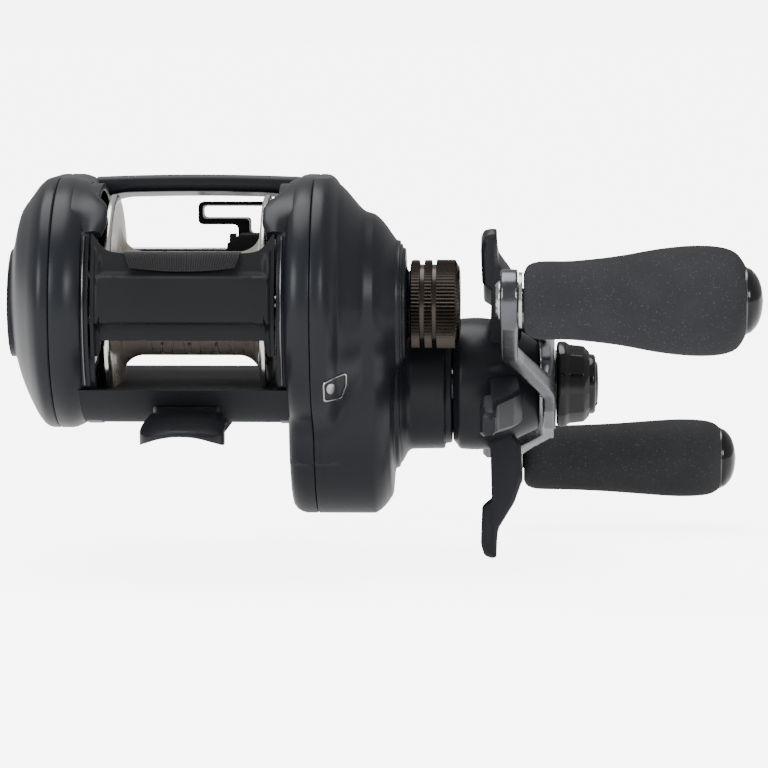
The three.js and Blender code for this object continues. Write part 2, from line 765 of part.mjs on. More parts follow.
function makeDriveShaft() {
  return turned([
    [rightFace + 2, 0], [rightFace + 2, driveShaftRadius], [crankCentre - 0.4, driveShaftRadius],
    [crankCentre - 0.4, 2.1], [nutEnd - 2, 2.1], [nutEnd - 2, 0],
  ], driveAxis);
}

const dragRadius = 12.4;
const dragStack = gearStart + 1.1;

function makeDriveGear() {
  const pitch = (driveModule * driveTeeth) / 2;
  const outline = gearOutline({
    module: driveModule, teeth: driveTeeth, tip: pitch + 0.3, root: pitch - 0.66, thin: 0.06,
    steps: 1, phase: driveDrop + Math.PI + Math.PI / driveTeeth,
  });
  return cut(
    slab(moved(outline, driveAxis), gearStart, gearEnd),
    rod(dragStack, gearEnd + 1, dragRadius + 0.2, driveAxis, largeRound),
    rod(gearStart - 1, gearEnd + 1, driveShaftRadius + seat, driveAxis),
  );
}

function dragWasher(index) {
  const start = dragStack + 0.05 + index * 0.88;
  return ring(start, start + 0.8, driveShaftRadius + seat, dragRadius, driveAxis);
}

function makeRatchet() {
  const teeth = 12;
  const outline = [];
  for (let i = 0; i < teeth; i += 1) {
    const start = (i / teeth) * 2 * Math.PI;
    [[8.4, 0.02], [6.9, 0.03], [7.1, 0.3]].forEach(([radius, turn]) => {
      outline.push([radius * Math.cos(start + turn), radius * Math.sin(start + turn)]);
    });
  }
  return cut(
    slab(moved(outline, driveAxis), ratchetStart, ratchetEnd),
    rod(ratchetStart - 1, ratchetEnd + 1, driveShaftRadius + seat, driveAxis),
  );
}

const windTip = (teeth) => (windModule * teeth) / 2 + 0.7;
const windRoot = (teeth) => (windModule * teeth) / 2 - 0.92;

const pawlPivot = away(driveAxis, THREE.MathUtils.degToRad(165), windTip(windTeeth) + 1.1);

function makeAntiReversePawl() {
  const finger = slab([
    [pawlPivot.y - 0.9, pawlPivot.z - 0.9], [pawlPivot.y + 4.9, pawlPivot.z - 1.5],
    [pawlPivot.y + 5.2, pawlPivot.z - 0.4], [pawlPivot.y + 0.3, pawlPivot.z + 1.4],
  ], ratchetStart, ratchetEnd);
  return cut(
    join(finger, rod(ratchetStart, ratchetEnd, 1.7, pawlPivot)),
    rod(ratchetStart - 1, ratchetEnd + 1, pawlPinRadius + running, pawlPivot, smallRound),
  );
}

function makeWindGear() {
  const outline = gearOutline({
    module: windModule, teeth: windTeeth, tip: windTip(windTeeth), root: windRoot(windTeeth),
    thin: 0.09, steps: 1, phase: wormRise,
  });
  return cut(
    slab(moved(outline, driveAxis), windGearStart, windGearEnd),
    rod(windGearStart - 1, windGearEnd + 1, driveShaftRadius + seat, driveAxis),
  );
}

const journalRadius = 1.5;

function makeWormGear() {
  const outline = gearOutline({
    module: windModule, teeth: wormTeeth, tip: windTip(wormTeeth), root: windRoot(wormTeeth),
    thin: 0.09, steps: 2, phase: wormRise + Math.PI + Math.PI / wormTeeth,
  });
  return cut(
    slab(moved(outline, wormAxis), windGearStart, windGearEnd),
    rod(windGearStart - 1, windGearEnd + 1, journalRadius + seat, wormAxis),
  );
}

function makeWormShaft() {
  const end = bay + 2.6;
  return turned([
    [-end - 2.8, 0], [-end - 2.8, journalRadius], [-end, journalRadius], [-end, wormRadius],
    [end, wormRadius], [end, journalRadius], [windGearEnd + 0.1, journalRadius],
    [windGearEnd + 0.1, 0],
  ], wormAxis);
}

function makeWormGuard() {
  const start = leftFace + 0.1;
  const end = rightFace - 0.1;
  const tube = ring(start, end, guardRadius - guardWall, guardRadius, wormAxis);
  const window = box(-bay - 1.2, bay + 1.2, wormAxis.y - 1.5, wormAxis.y + 1.5,
    wormAxis.z - guardRadius - 1, wormAxis.z);
  return cut(tube, window);
}

function makeGuideRod() {
  return rod(leftFace - 1.4, rightFace + 0.9, guideRodRadius, guideRod);
}

// ---------------------------------------------------------------- line guide

const wingPivot = { y: guideRod.y + 3.6, z: guideRod.z + 2 };
const wingFront = wingPivot.y + 0.8;
const wingBack = wingPivot.y - 0.8;
const wingTop = wingPivot.z + 6.3;

function makeCarriage() {
  const half = 4.3;
  const front = guideRod.y + 2.3;
  const back = wormAxis.y - guardRadius - 1.2;
  const low = wormAxis.z - guardRadius - 1.2;
  const high = guideRod.z + 3.4;
  const side = slab([
    [back + 2, low], [front - 1, low], [front, low + 1.5], [front, high - 0.6],
    [front - 1.2, high], [guideRod.y - 1.6, high], [back, guideRod.z - 1.5], [back, low + 2],
  ], -half, half);
  const crown = wall([
    [-half, low - 1], [half, low - 1], [half, high - 1.6], [half - 2.2, high],
    [-half + 2.2, high], [-half, high - 1.6],
  ], back - 1, front + 1);
  const pawlBoss = rod(-2.6, 0, 2.4, { y: 0, z: 0 }).rotate([0, -90, 0])
    .translate([0, wormAxis.y, low]);
  const ears = [-1, 1].map((turn) => {
    const ear = slab([
      [front - 1, wingPivot.z - 1.2], [wingPivot.y + 1, wingPivot.z - 1.2],
      [wingPivot.y + 1, wingPivot.z + 1.1], [front - 1, wingPivot.z + 1.1],
    ], 3.2, half);
    return turn > 0 ? ear : ear.translate([-3.2 - half, 0, 0]);
  });
  const block = join(common(side, crown), ...ears);
  return cut(
    block,
    rod(-half - 1, half + 1, guardRadius + running + 0.05, wormAxis),
    rod(-half - 1, half + 1, guideRodRadius + running, guideRod),
    rod(-half - 1, half + 1, 0.55, wingPivot, smallRound),
    rod(-10, 0, 1.3, { y: 0, z: 0 }, smallRound).rotate([11, 0, 0]).rotate([0, -90, 0])
      .translate([0, wormAxis.y, wormAxis.z - guardRadius + guardWall]),
  ).translate([guideOffset, 0, 0]);
}

function makeGuidePawl() {
  const top = -wormRadius - 0.12;
  const bottom = -guardRadius - 2.2;
  return rod(bottom, top, 1.2, { y: 0, z: 0 }, smallRound).rotate([11, 0, 0]).rotate([0, -90, 0])
    .translate([guideOffset, wormAxis.y, wormAxis.z]);
}

function makeWingPin() {
  return rod(-4.2, 4.2, 0.5, wingPivot, smallRound).translate([guideOffset, 0, 0]);
}

function wingOutline(grow) {
  const wide = wingHalfWidth + grow;
  const stem = 2.9 + grow;
  const ledge = wingPivot.z + 2.6;
  return [
    [-stem, wingPivot.z - 1], [stem, wingPivot.z - 1], [stem, ledge], [wide - 0.8, ledge],
    [wide, ledge + 0.8], [wide, wingTop - 0.8], [wide - 0.8, wingTop], [-wide + 0.8, wingTop],
    [-wide, wingTop - 0.8], [-wide, ledge + 0.8], [-wide + 0.8, ledge], [-stem, ledge],
  ];
}

function slotOutline(grow) {
  const wide = wingHalfWidth - 1.2 + grow;
  const narrow = 0.8 + grow;
  const ledge = wingTop - 2.3 - grow;
  return [
    [-narrow, wingPivot.z + 1.2 - grow], [narrow, wingPivot.z + 1.2 - grow], [narrow, ledge],
    [wide, ledge], [wide, wingTop - 0.75 + grow], [-wide, wingTop - 0.75 + grow], [-wide, ledge],
    [-narrow, ledge],
  ];
}

function makeWing() {
  return cut(
    wall(wingOutline(0), wingBack, wingFront),
    wall(slotOutline(0.45), wingBack - 1, wingFront + 1),
    rod(-20, 20, 0.5 + running, wingPivot, smallRound),
  ).translate([guideOffset, 0, 0]);
}

function makeWingInsert() {
  return cut(
    wall(slotOutline(0.4), wingBack - 0.1, wingFront + 0.1),
    wall(slotOutline(0), wingBack - 1, wingFront + 1),
  ).translate([guideOffset, 0, 0]);
}

// ---------------------------------------------------------------- gear cover

const outerBearingRadius = 7;

function makeGearCover() {
  const s = spoolAxis;
  const scale = spoolRadius / 17;
  const domeProfile = (drop, wallIn) => [
    [coverStart - wallIn, 0], [coverStart - wallIn, (19.6 * scale) - drop],
    [coverStart + 2.3 - wallIn * 0.5, (19.6 * scale) - drop],
    [coverStart + 4.6 - wallIn, 18.3 * scale - drop],
    [coverStart + 6.5 - wallIn, 16 * scale - drop], [coverStart + 7.6 - wallIn, 14.5 * scale - drop],
  ];
  const dome = turned([
    ...domeProfile(0, 0), [drumEnd - 0.1, 14], [drumEnd + 1.4, 12.6], [drumEnd + 2.7, 10.75],
    [ringStart, 9.9], [ringStart + 0.7, 8.8], [ringStart + 1.2, 8.8],
    [neckStart - 0.1, neckRadius], [capStart + 4.4, neckRadius], [capStart + 4.4, 0],
  ], s, largeRound);
  const capRoom = rod(neckStart, bossFace + 1, capRadius + gap, s, largeRound);
  const drum = cut(turned([
    [coverStart, 0], [coverStart, drumRadius], [drumEnd, drumRadius],
    [drumEnd + 1.6, drumRadius - 1.6], [drumEnd + 2.8, drumRadius - 5.2],
    [drumEnd + 3.1, 14], [drumEnd + 3.9, 12.25], [drumEnd + 4.6, bossRadius],
    [bossFace, bossRadius], [bossFace, 0],
  ], driveAxis, largeRound), capRoom);
  const skirt = slab(bodyOutline(0), coverStart, coverStart + 2.2);
  const roof = slab(bodyOutline(1.3), coverStart + 2.1, coverStart + 3.7);
  const outer = join(skirt, roof, dome, drum);
  const domeRoom = turned([
    ...domeProfile(coverWall + 0.3, coverWall), [drumEnd - 0.6, 12.3], [drumEnd - 0.6, 0],
  ], s);
  const drumRoom = rod(coverStart - 1, drumInnerEnd, drumRadius - coverWall, driveAxis, largeRound);
  const skirtRoom = slab(bodyOutline(coverWall + 0.2), coverStart - 1, coverStart + 2.2);
  const shell = cut(outer, domeRoom, drumRoom, skirtRoom);
  const columns = Object.values(gearScrews).map((place) =>
    common(rod(coverStart, coverStart + 12, 2.2, place), outer));
  return cut(
    join(shell, ...columns),
    rod(drumEnd - 1, pinionBearingEnd + 0.1, pinionBearingRadius + seat, s),
    rod(pinionBearingEnd - 1, pinionBearingEnd + clutchThrow + 0.3, 2.3, s),
    rod(drumEnd, capStart + 5, shaftRadius + 0.25, s),
    rod(capStart + 2, capStart + 5, leftBearingRadius + seat, s),
    rod(drumInnerEnd - 1, drumEnd + 7.6, outerBearingRadius + 0.1, driveAxis),
    rod(drumEnd, bossFace + 1, sleeveRadius + 0.4, driveAxis),
    ...Object.values(gearScrews).flatMap((place) => [
      rod(coverStart - 1, coverStart + 12, screwShank + seat, place, smallRound),
      rod(screwSeat, coverStart + 14, screwHead + 0.2, place, smallRound),
    ]),
  );
}

// A screw from its tip to its head, along X either way.
function makeScrew(tip, head, place) {
  const turn = Math.sign(head - tip);
  return turned([
    [tip, 0], [tip, screwShank], [head, screwShank], [head, screwHead],
    [head + turn, screwHead], [head + turn, 0],
  ], place, smallRound);
}

// ---------------------------------------------------------------- spool tension cap

function makeTensionCap() {
  const bore = neckRadius + running;
  const bands = [0.1, 1.5, 2.3, 3.4, 4.1, 7.1].map((x) => (x * capLength) / 7.75);
  const outline = [[capStart, bore], [capStart, capRadius - 0.3]];
  bands.forEach((x, i) => {
    const high = i % 2 === 0;
    outline.push([capStart + x - 0.08, high ? capRadius - 0.3 : capRadius]);
    outline.push([capStart + x + 0.08, high ? capRadius : capRadius - 0.3]);
  });
  outline.push([capEnd, capRadius - 1], [capEnd, 0], [capEnd - 1.5, 0], [capEnd - 1.5, bore]);
  outline.push([capStart, bore]);
  return turned(outline, spoolAxis, largeRound);
}

// ---------------------------------------------------------------- drag star and crank

function makeStar() {
  const hub = turned([
    [starStart, sleeveRadius + 1.2], [starStart, starHubRadius - 1.4],
    [starStart + 0.5, starHubRadius - 1], [starStart + 1, starHubRadius],
    [starHubEnd, starHubRadius], [starHubEnd + 1.2, starHubRadius - 1],
    [starHubEnd + 1.2, driveShaftRadius + running], [starStart + 4.4, driveShaftRadius + running],
    [starStart + 4.4, 5.9], [starStart + 0.1, 5.9], [starStart, sleeveRadius + 1.2],
  ], { y: 0, z: 0 });
  const bend = starRadius - 8.4;
  const profile = [
    [8, starHubEnd - 3.5], [9.6, starHubEnd - 1.4], [14.5, starHubEnd - 0.3],
    [bend - 1.5, starHubEnd - 1.1], [bend + 1, starHubEnd - 3.3], [starRadius - 2.2, starHubEnd - 3.5],
    [starRadius - 0.1, starHubEnd - 2.4], [starRadius, starHubEnd - 0.9],
    [starRadius - 3, starHubEnd - 0.9], [bend + 2.2, starHubEnd - 0.6], [bend, starHubEnd + 2.3],
    [14.5, starHubEnd + 3.1], [9.6, starHubEnd + 2.4], [8, starHubEnd + 1],
  ];
  const side = new THREE.ExtrudeGeometry(
    new THREE.Shape(points(profile.map(([r, x]) => [r, x]))), { depth: 12, bevelEnabled: false },
  );
  side.translate(0, 0, -6);
  side.applyMatrix4(new THREE.Matrix4().set(0, 1, 0, 0, 1, 0, 0, 0, 0, 0, -1, 0, 0, 0, 0, 1));
  const face = slab([
    [6, -4.2], [13, -3.4], [bend, -3.2], [starRadius - 2, -2.8], [starRadius + 1, -1],
    [starRadius + 1, 1], [starRadius - 2, 2.8], [bend, 3.2], [13, 3.4], [6, 4.2],
  ], starStart, starHubEnd + 6);
  const arm = common(solidOf(side), face);
  const arms = Array.from({ length: 5 }, (_, i) =>
    arm.rotate([THREE.MathUtils.radToDeg(starFirstArm) + i * 72, 0, 0]));
  return cut(
    join(hub, ...arms),
    rod(starStart + 4, starHubEnd + 8, driveShaftRadius + running, { y: 0, z: 0 }),
  );
}

// Two cupped washers that spring the star against the sleeve.
function makeSpringWashers() {
  const start = starStart + 0.7;
  const inner = driveShaftRadius + 0.15;
  return turned([
    [start, inner], [start + 0.9, 5.4], [start + 1.8, inner], [start + 1.4, inner],
    [start + 0.9, 4.2], [start + 0.4, inner], [start, inner],
  ], { y: 0, z: 0 });
}

function makeCrank() {
  const end = crankReach + 4.65;
  const profile = [
    [-end, 0], [-29, 0], [-11, crankCentre - crankPlate], [11, crankCentre - crankPlate],
    [29, 0], [end, 0], [end, crankThickness], [29.6, crankThickness],
    [11.4, crankOuter - crankPlate], [-11.4, crankOuter - crankPlate], [-29.6, crankThickness],
    [-end, crankThickness],
  ];
  const side = new THREE.ExtrudeGeometry(
    new THREE.Shape(points(profile)), { depth: 20, bevelEnabled: false },
  );
  side.translate(0, 0, -10);
  side.applyMatrix4(new THREE.Matrix4().set(0, 1, 0, crankPlate, 1, 0, 0, 0, 0, 0, -1, 0, 0, 0, 0, 1));
  const outline = new THREE.Shape();
  const w = crankHalfWidth;
  outline.moveTo(-crankReach, -4.65);
  outline.lineTo(-28, -w);
  outline.lineTo(-12, -w - 1.2);
  outline.quadraticCurveTo(0, -w - 4, 12, -w - 1.2);
  outline.lineTo(28, -w);
  outline.lineTo(crankReach, -4.65);
  outline.absarc(crankReach, 0, 4.65, -Math.PI / 2, Math.PI / 2, false);
  outline.lineTo(28, w);
  outline.lineTo(12, w + 1.2);
  outline.quadraticCurveTo(0, w + 4, -12, w + 1.2);
  outline.lineTo(-28, w);
  outline.lineTo(-crankReach, 4.65);
  outline.absarc(-crankReach, 0, 4.65, Math.PI / 2, 1.5 * Math.PI, false);
  const window = (hand) => slab(
    [[14, -2.6], [32, -2], [33.5, 0], [32, 2], [14, 2.6], [12.6, 0]].map(([y, z]) => [hand * y, z]),
    crankPlate - 2, crankOuter + 2,
  );
  return cut(
    common(solidOf(side), slab(outline, crankPlate - 1, crankOuter + 1)),
    window(1),
    window(-1),
    rod(crankPlate - 2, crankOuter + 2, 2.1 + seat, { y: 0, z: 0 }),
    ...[1, -1].map((hand) =>
      rod(crankPlate - 2, crankOuter, knobPostRadius + seat, { y: hand * crankReach, z: 0 })),
  );
}

function makeHandleNut() {
  const start = crankOuter + gap;
  return turned([
    [start, 2.1 + seat], [start, nutRadius], [start + 1.6, nutRadius], [start + 1.6, nutRadius - 0.5],
    [nutEnd - 0.6, nutRadius - 0.5], [nutEnd, nutRadius - 1.2], [nutEnd, 4.8], [nutEnd + 0.8, 4.8],
    [nutEnd + 1.4, 3.4], [nutEnd + 1.5, 0], [nutEnd - 1.7, 0], [nutEnd - 1.7, 2.1 + seat],
    [start, 2.1 + seat],
  ], { y: 0, z: 0 });
}

function makeNutRetainer() {
  const start = crankOuter + 0.05;
  const plate = slab([
    [-13, -4], [6, -4], [7.4, -2], [7.4, 2], [6, 4], [-13, 4], [-14, 2], [-14, -2],
  ], start, start + 0.22);
  return cut(plate, rod(start - 1, start + 1, 2.1 + seat, { y: 0, z: 0 }));
}

// ---------------------------------------------------------------- knobs

const knobStations = [
  [0, 5.2, 4.9], [0.03, 5.85, 5.25], [0.22, 5.9, 5.3], [0.42, 7.2, 5.5], [0.6, 9.1, 5.9],
  [0.76, 9.8, 6.2], [0.88, 8.6, 6.1], [0.96, 6.6, 5.6], [1, 5.6, 5.2],
];

// A paddle: each station gives its place along the length, half width and half thickness.
function makeKnob() {
  const count = 16;
  const outline = [new THREE.Vector2(0, 0)];
  knobStations.forEach((station, i) => outline.push(new THREE.Vector2(1, i + 1)));
  outline.push(new THREE.Vector2(0, knobStations.length + 1));
  const geometry = new THREE.LatheGeometry(outline, count);
  geometry.applyMatrix4(lathed);
  const place = geometry.getAttribute('position');
  for (let i = 0; i < place.count; i += 1) {
    const station = THREE.MathUtils.clamp(Math.round(place.getX(i)) - 1, 0, knobStations.length - 1);
    const [share, wide, thick] = knobStations[station];
    place.setXYZ(i, knobStart + share * knobLength, place.getY(i) * wide, place.getZ(i) * thick);
  }
  return cut(
    solidOf(geometry),
    rod(knobStart - 1, knobEnd - 6, knobPostRadius + running, { y: 0, z: 0 }),
    rod(knobEnd - 6.5, knobEnd + 1, 3.4, { y: 0, z: 0 }),
  );
}

function makeKnobCap() {
  const start = knobEnd + 0.1;
  return turned([
    [start - 1.6, 0], [start - 1.6, 3.3], [start, 3.3], [start, 5], [start + 0.7, 4.8],
    [start + 1.8, 3.7], [start + 2.5, 1.9], [start + 2.7, 0],
  ], { y: 0, z: 0 });
}

// Rivet that a knob turns on, with its collar between crank and knob.
function makeKnobPost() {
  const collar = crankPlate + crankThickness + 0.1;
  return turned([
    [crankPlate - 0.75, 0], [crankPlate - 0.75, 2.6], [crankPlate - 0.05, 2.9],
    [crankPlate - 0.05, knobPostRadius], [collar, knobPostRadius], [collar, 4.2],
    [collar + 0.6, 4.2], [collar + 0.6, knobPostRadius], [knobEnd - 6.3, knobPostRadius],
    [knobEnd - 6.3, 3], [knobEnd - 5.2, 2.6], [knobEnd - 5.2, 0],
  ], { y: 0, z: 0 });
}

// ---------------------------------------------------------------- assembly

const reel = new THREE.Group();

reel.add(meshOf('frame', makeFrame(), satinBlack()));
reel.add(meshOf('front_hood', makeHood(), satinBlack()));
reel.add(meshOf('palm_cover', makePalmCover(), satinBlack()));
reel.add(meshOf('palm_cover_screw', makeScrew(leftFace - 1.9, palmStart - 1.65, palmScrew), darkSteel()));
reel.add(meshOf('brake_dial', makeDial(), darkSteel()));
reel.add(meshOf('brake_magnet_holder', makeMagnetHolder(), mouldedBlack()));
reel.add(meshOf('brake_magnet_ring', makeMagnetRing(), magnet()));
reel.add(meshOf('brake_rotor', makeBrakeRotor(), steel()));
reel.add(meshOf('spool', makeSpool(), spoolAlloy()));
reel.add(meshOf('spool_shaft', makeSpoolShaft(), steel()));
reel.add(meshOf('spool_bearing_left',
  bearing(leftFace - 0.9, leftFace + 1.1, shaftRadius + running, leftBearingRadius, spoolAxis), steel()));
reel.add(meshOf('spool_bearing_right',
  bearing(capStart + 2.1, capStart + 4.1, shaftRadius + running, leftBearingRadius, spoolAxis), steel()));
reel.add(meshOf('pinion_gear', makePinion(), brass()));
reel.add(meshOf('pinion_bearing_inner',
  bearing(rightFace - 1.5, rightFace + 1, 2.4 + running, pinionBearingRadius, spoolAxis), steel()));
reel.add(meshOf('pinion_bearing_outer',
  bearing(pinionBearingStart, pinionBearingEnd, 1.9 + running, pinionBearingRadius, spoolAxis), steel()));
reel.add(meshOf('clutch_yoke', makeYoke(), mouldedBlack()));
yokePostPlaces().forEach((place, i) => {
  reel.add(meshOf(`yoke_spring_${i + 1}`, makeYokeSpring(place), steel()));
});
reel.add(meshOf('clutch_cam', makeClutchCam(), acetal()));
reel.add(meshOf('clutch_bar', makeClutchBar(), mouldedBlack()));
reel.add(meshOf('thumb_pad', makeThumbPad(), rubber()));
reel.add(meshOf('drive_shaft', makeDriveShaft(), steel()));
reel.add(meshOf('drive_shaft_bearing',
  bearing(rightFace + 2, rightParting - 0.1, driveShaftRadius + running, innerBearingRadius, driveAxis),
  steel()));
reel.add(meshOf('levelwind_drive_gear', makeWindGear(), acetal()));
reel.add(meshOf('ratchet_wheel', makeRatchet(), steel()));
reel.add(meshOf('anti_reverse_pawl', makeAntiReversePawl(), steel()));
reel.add(meshOf('drive_gear', makeDriveGear(), brass()));
reel.add(meshOf('drag_washer_inner', dragWasher(0), carbon()));
reel.add(meshOf('drag_washer_outer', dragWasher(1), carbon()));
reel.add(meshOf('drag_pressure_plate',
  ring(dragStack + 1.85, gearEnd + 0.5, driveShaftRadius + seat, dragRadius - 0.6, driveAxis), steel()));
reel.add(meshOf('one_way_sleeve',
  ring(gearEnd + 0.6, bossFace + 0.9, driveShaftRadius + seat, sleeveRadius, driveAxis), steel()));
reel.add(meshOf('one_way_bearing',
  bearing(drumInnerEnd + 0.3, drumEnd + 4.4, sleeveRadius + running, outerBearingRadius, driveAxis), steel()));
reel.add(meshOf('sleeve_bearing',
  bearing(drumEnd + 4.6, drumEnd + 7.5, sleeveRadius + running, outerBearingRadius, driveAxis), steel()));
reel.add(meshOf('worm_shaft', makeWormShaft(), steel()));
reel.add(meshOf('worm_gear', makeWormGear(), acetal()));
[['worm_bush_left', leftFace - 3.1], ['worm_bush_right', rightFace + 0.1]].forEach(([name, start]) => {
  const bush = ring(start, start + 3, journalRadius + running, bushRadius, wormAxis);
  reel.add(meshOf(name, bush, acetal()));
});
reel.add(meshOf('worm_guard', makeWormGuard(), darkSteel()));
reel.add(meshOf('guide_rod', makeGuideRod(), steel()));
reel.add(meshOf('line_guide_carriage', makeCarriage(), mouldedBlack()));
reel.add(meshOf('line_guide_pawl', makeGuidePawl(), brass()));
reel.add(meshOf('line_guide_pin', makeWingPin(), steel()));
reel.add(meshOf('line_guide_wing', makeWing(), mouldedBlack()));
reel.add(meshOf('line_guide_insert', makeWingInsert(), steel()));
reel.add(meshOf('gear_cover', makeGearCover(), satinBlack()));
Object.entries(gearScrews).forEach(([name, place]) => {
  const screw = makeScrew(rightFace + 1.8, screwSeat + 0.05, place);
  reel.add(meshOf(`gear_cover_screw_${name}`, screw, darkSteel()));
});
reel.add(meshOf('tension_cap', makeTensionCap(), bronzeBlack()));
reel.add(meshOf('tension_shim', rod(capEnd - 1.9, capEnd - 1.6, neckRadius - 0.6, spoolAxis), brass()));

// The star and the whole handle turn about the drive shaft.
const handle = new THREE.Group();
handle.position.set(0, driveAxis.y, driveAxis.z);
handle.add(meshOf('star_drag', makeStar(), satinBlack()));
handle.add(meshOf('star_spring_washers', makeSpringWashers(), steel()));
reel.add(handle);

const crank = new THREE.Group();
crank.rotation.x = crankAngle;
crank.add(meshOf('crank', makeCrank(), darkSteel()));
crank.add(meshOf('handle_nut', makeHandleNut(), glossBlack()));
crank.add(meshOf('nut_retainer', makeNutRetainer(), steel()));
handle.add(crank);

const knobTurns = {
  upper: THREE.MathUtils.degToRad(48) - crankAngle,
  lower: THREE.MathUtils.degToRad(-20) - crankAngle,
};
Object.entries(knobTurns).forEach(([name, turn], i) => {
  const post = new THREE.Group();
  post.position.y = i === 0 ? crankReach : -crankReach;
  post.add(meshOf(`knob_post_${name}`, makeKnobPost(), steel()));
  const knob = new THREE.Group();
  knob.rotation.x = turn;
  knob.add(meshOf(`knob_${name}`, makeKnob(), rubber()));
  knob.add(meshOf(`knob_cap_${name}`, makeKnobCap(), glossBlack()));
  post.add(knob);
  crank.add(post);
});

export default reel;
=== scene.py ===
"""Low-profile baitcasting reel: the visible surfaces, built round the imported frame."""
import json
import math

import bmesh
import bpy
from mathutils import Matrix, Vector
from mathutils.bvhtree import BVHTree


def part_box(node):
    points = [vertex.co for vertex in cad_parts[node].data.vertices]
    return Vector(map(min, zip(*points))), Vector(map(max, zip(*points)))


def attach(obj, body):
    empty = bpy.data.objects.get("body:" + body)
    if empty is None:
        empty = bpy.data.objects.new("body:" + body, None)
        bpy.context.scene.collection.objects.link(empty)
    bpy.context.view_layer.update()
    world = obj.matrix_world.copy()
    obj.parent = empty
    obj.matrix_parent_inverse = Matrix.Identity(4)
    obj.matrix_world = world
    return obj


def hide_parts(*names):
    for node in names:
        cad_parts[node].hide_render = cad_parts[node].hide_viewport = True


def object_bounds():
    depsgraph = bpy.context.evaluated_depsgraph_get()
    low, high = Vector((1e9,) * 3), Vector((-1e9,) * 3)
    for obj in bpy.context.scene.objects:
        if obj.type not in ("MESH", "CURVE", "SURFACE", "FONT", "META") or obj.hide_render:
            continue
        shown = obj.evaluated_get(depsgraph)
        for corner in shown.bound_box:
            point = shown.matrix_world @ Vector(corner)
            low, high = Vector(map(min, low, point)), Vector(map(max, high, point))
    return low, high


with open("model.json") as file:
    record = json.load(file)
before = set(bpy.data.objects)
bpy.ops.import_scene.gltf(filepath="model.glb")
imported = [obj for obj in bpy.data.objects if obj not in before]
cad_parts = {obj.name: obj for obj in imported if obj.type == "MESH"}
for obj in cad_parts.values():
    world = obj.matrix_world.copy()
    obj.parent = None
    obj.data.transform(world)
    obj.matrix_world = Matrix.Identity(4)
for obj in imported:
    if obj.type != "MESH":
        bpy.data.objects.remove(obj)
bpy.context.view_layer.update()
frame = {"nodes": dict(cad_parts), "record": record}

MM = 0.001
TURN = 2 * math.pi


# ---------------------------------------------------------------- places, in millimetres


def span(node):
    """The lowest and highest corner of a CAD node, in millimetres."""
    low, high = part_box(node)
    return low / MM, high / MM


def axis_of(node):
    """The Y and Z of the line along X through the middle of a node."""
    low, high = span(node)
    return (low.y + high.y) / 2, (low.z + high.z) / 2


SPOOL = axis_of("spool")
DRIVE = axis_of("drag_washer_inner")
WORM = axis_of("worm_guard")
ROD = axis_of("guide_rod")
WING_PIVOT = axis_of("line_guide_pin")

BAY = span("spool")[1].x
SPOOL_RADIUS = (span("spool")[1].z - span("spool")[0].z) / 2
LEFT_FACE = span("worm_guard")[0].x - 0.1
RIGHT_FACE = span("worm_guard")[1].x + 0.1
LEFT_PARTING = span("frame")[0].x
COVER_START = span("gear_cover")[0].x
RIGHT_PARTING = COVER_START - 0.3
DRUM_END = span("pinion_bearing_outer")[0].x - 0.1
BOSS_FACE = span("gear_cover")[1].x
PALM_CROWN = span("palm_cover")[0].x
PALM_START = LEFT_PARTING - 0.12
DIAL_FACE, DIAL_BACK = span("brake_dial")[0].x, span("brake_dial")[1].x
CAP_START, CAP_END = span("tension_cap")[0].x, span("tension_cap")[1].x
STAR_START = span("star_drag")[0].x
STAR_HUB_END = span("star_drag")[1].x - 3.1
CRANK_BACK, CRANK_FRONT = span("crank")[0].x, span("crank")[1].x
KNOB_START, KNOB_END = span("knob_upper")[0].x, span("knob_upper")[1].x
ROOF = span("frame")[1].z
FLOOR_TOP = 6.4
BASE = -0.6
REAR_REACH = SPOOL_RADIUS + 4.75
OPENING = SPOOL_RADIUS + 0.6
DRUM_RADIUS = 20.6
BOSS_RADIUS = 10.4
TUBE_RADIUS = 4.2
TUBE_BORE = 3.2
WING_POCKET = 2.7
CRANK_REACH = 45.0
CRANK_TURN = math.atan2(
    axis_of("knob_cap_upper")[1] - DRIVE[1], axis_of("knob_cap_upper")[0] - DRIVE[0]
)


# ---------------------------------------------------------------- curves


def bezier(a, b, c, d, steps):
    """Points after a on a cubic curve from a to d."""
    found = []
    for i in range(1, steps + 1):
        t = i / steps
        s = 1 - t
        weights = (s * s * s, 3 * s * s * t, 3 * s * t * t, t * t * t)
        found.append(tuple(sum(w * p[k] for w, p in zip(weights, (a, b, c, d))) for k in (0, 1)))
    return found


def smooth_through(stations, x):
    """The values of a table of (x, value, ...) at x, eased so that the curve has no corners."""
    last = len(stations) - 1
    at = max(0, min(last - 1, sum(s[0] <= x for s in stations) - 1))
    before, a, b, after = (stations[max(0, min(last, at + k))] for k in (-1, 0, 1, 2))
    width = b[0] - a[0]
    t = max(0.0, min(1.0, (x - a[0]) / width))
    found = []
    for k in range(1, len(a)):
        rise = (b[k] - a[k]) / width
        slope_a = slope_b = rise
        if before is not a:
            slope_a = (b[k] - before[k]) / (b[0] - before[0])
        if after is not b:
            slope_b = (after[k] - a[k]) / (after[0] - a[0])
        if (before is not a) and (a[k] - before[k]) * rise <= 0:
            slope_a = 0
        if (after is not b) and (after[k] - b[k]) * rise <= 0:
            slope_b = 0
        t2, t3 = t * t, t * t * t
        found.append(
            a[k] * (2 * t3 - 3 * t2 + 1) + slope_a * width * (t3 - 2 * t2 + t)
            + b[k] * (3 * t2 - 2 * t3) + slope_b * width * (t3 - t2)
        )
    return found if len(found) > 1 else found[0]


def ease(low, high, x):
    """0 at low, 1 at high and a smooth step between them."""
    t = max(0.0, min(1.0, (x - low) / (high - low)))
    return t * t * (3 - 2 * t)


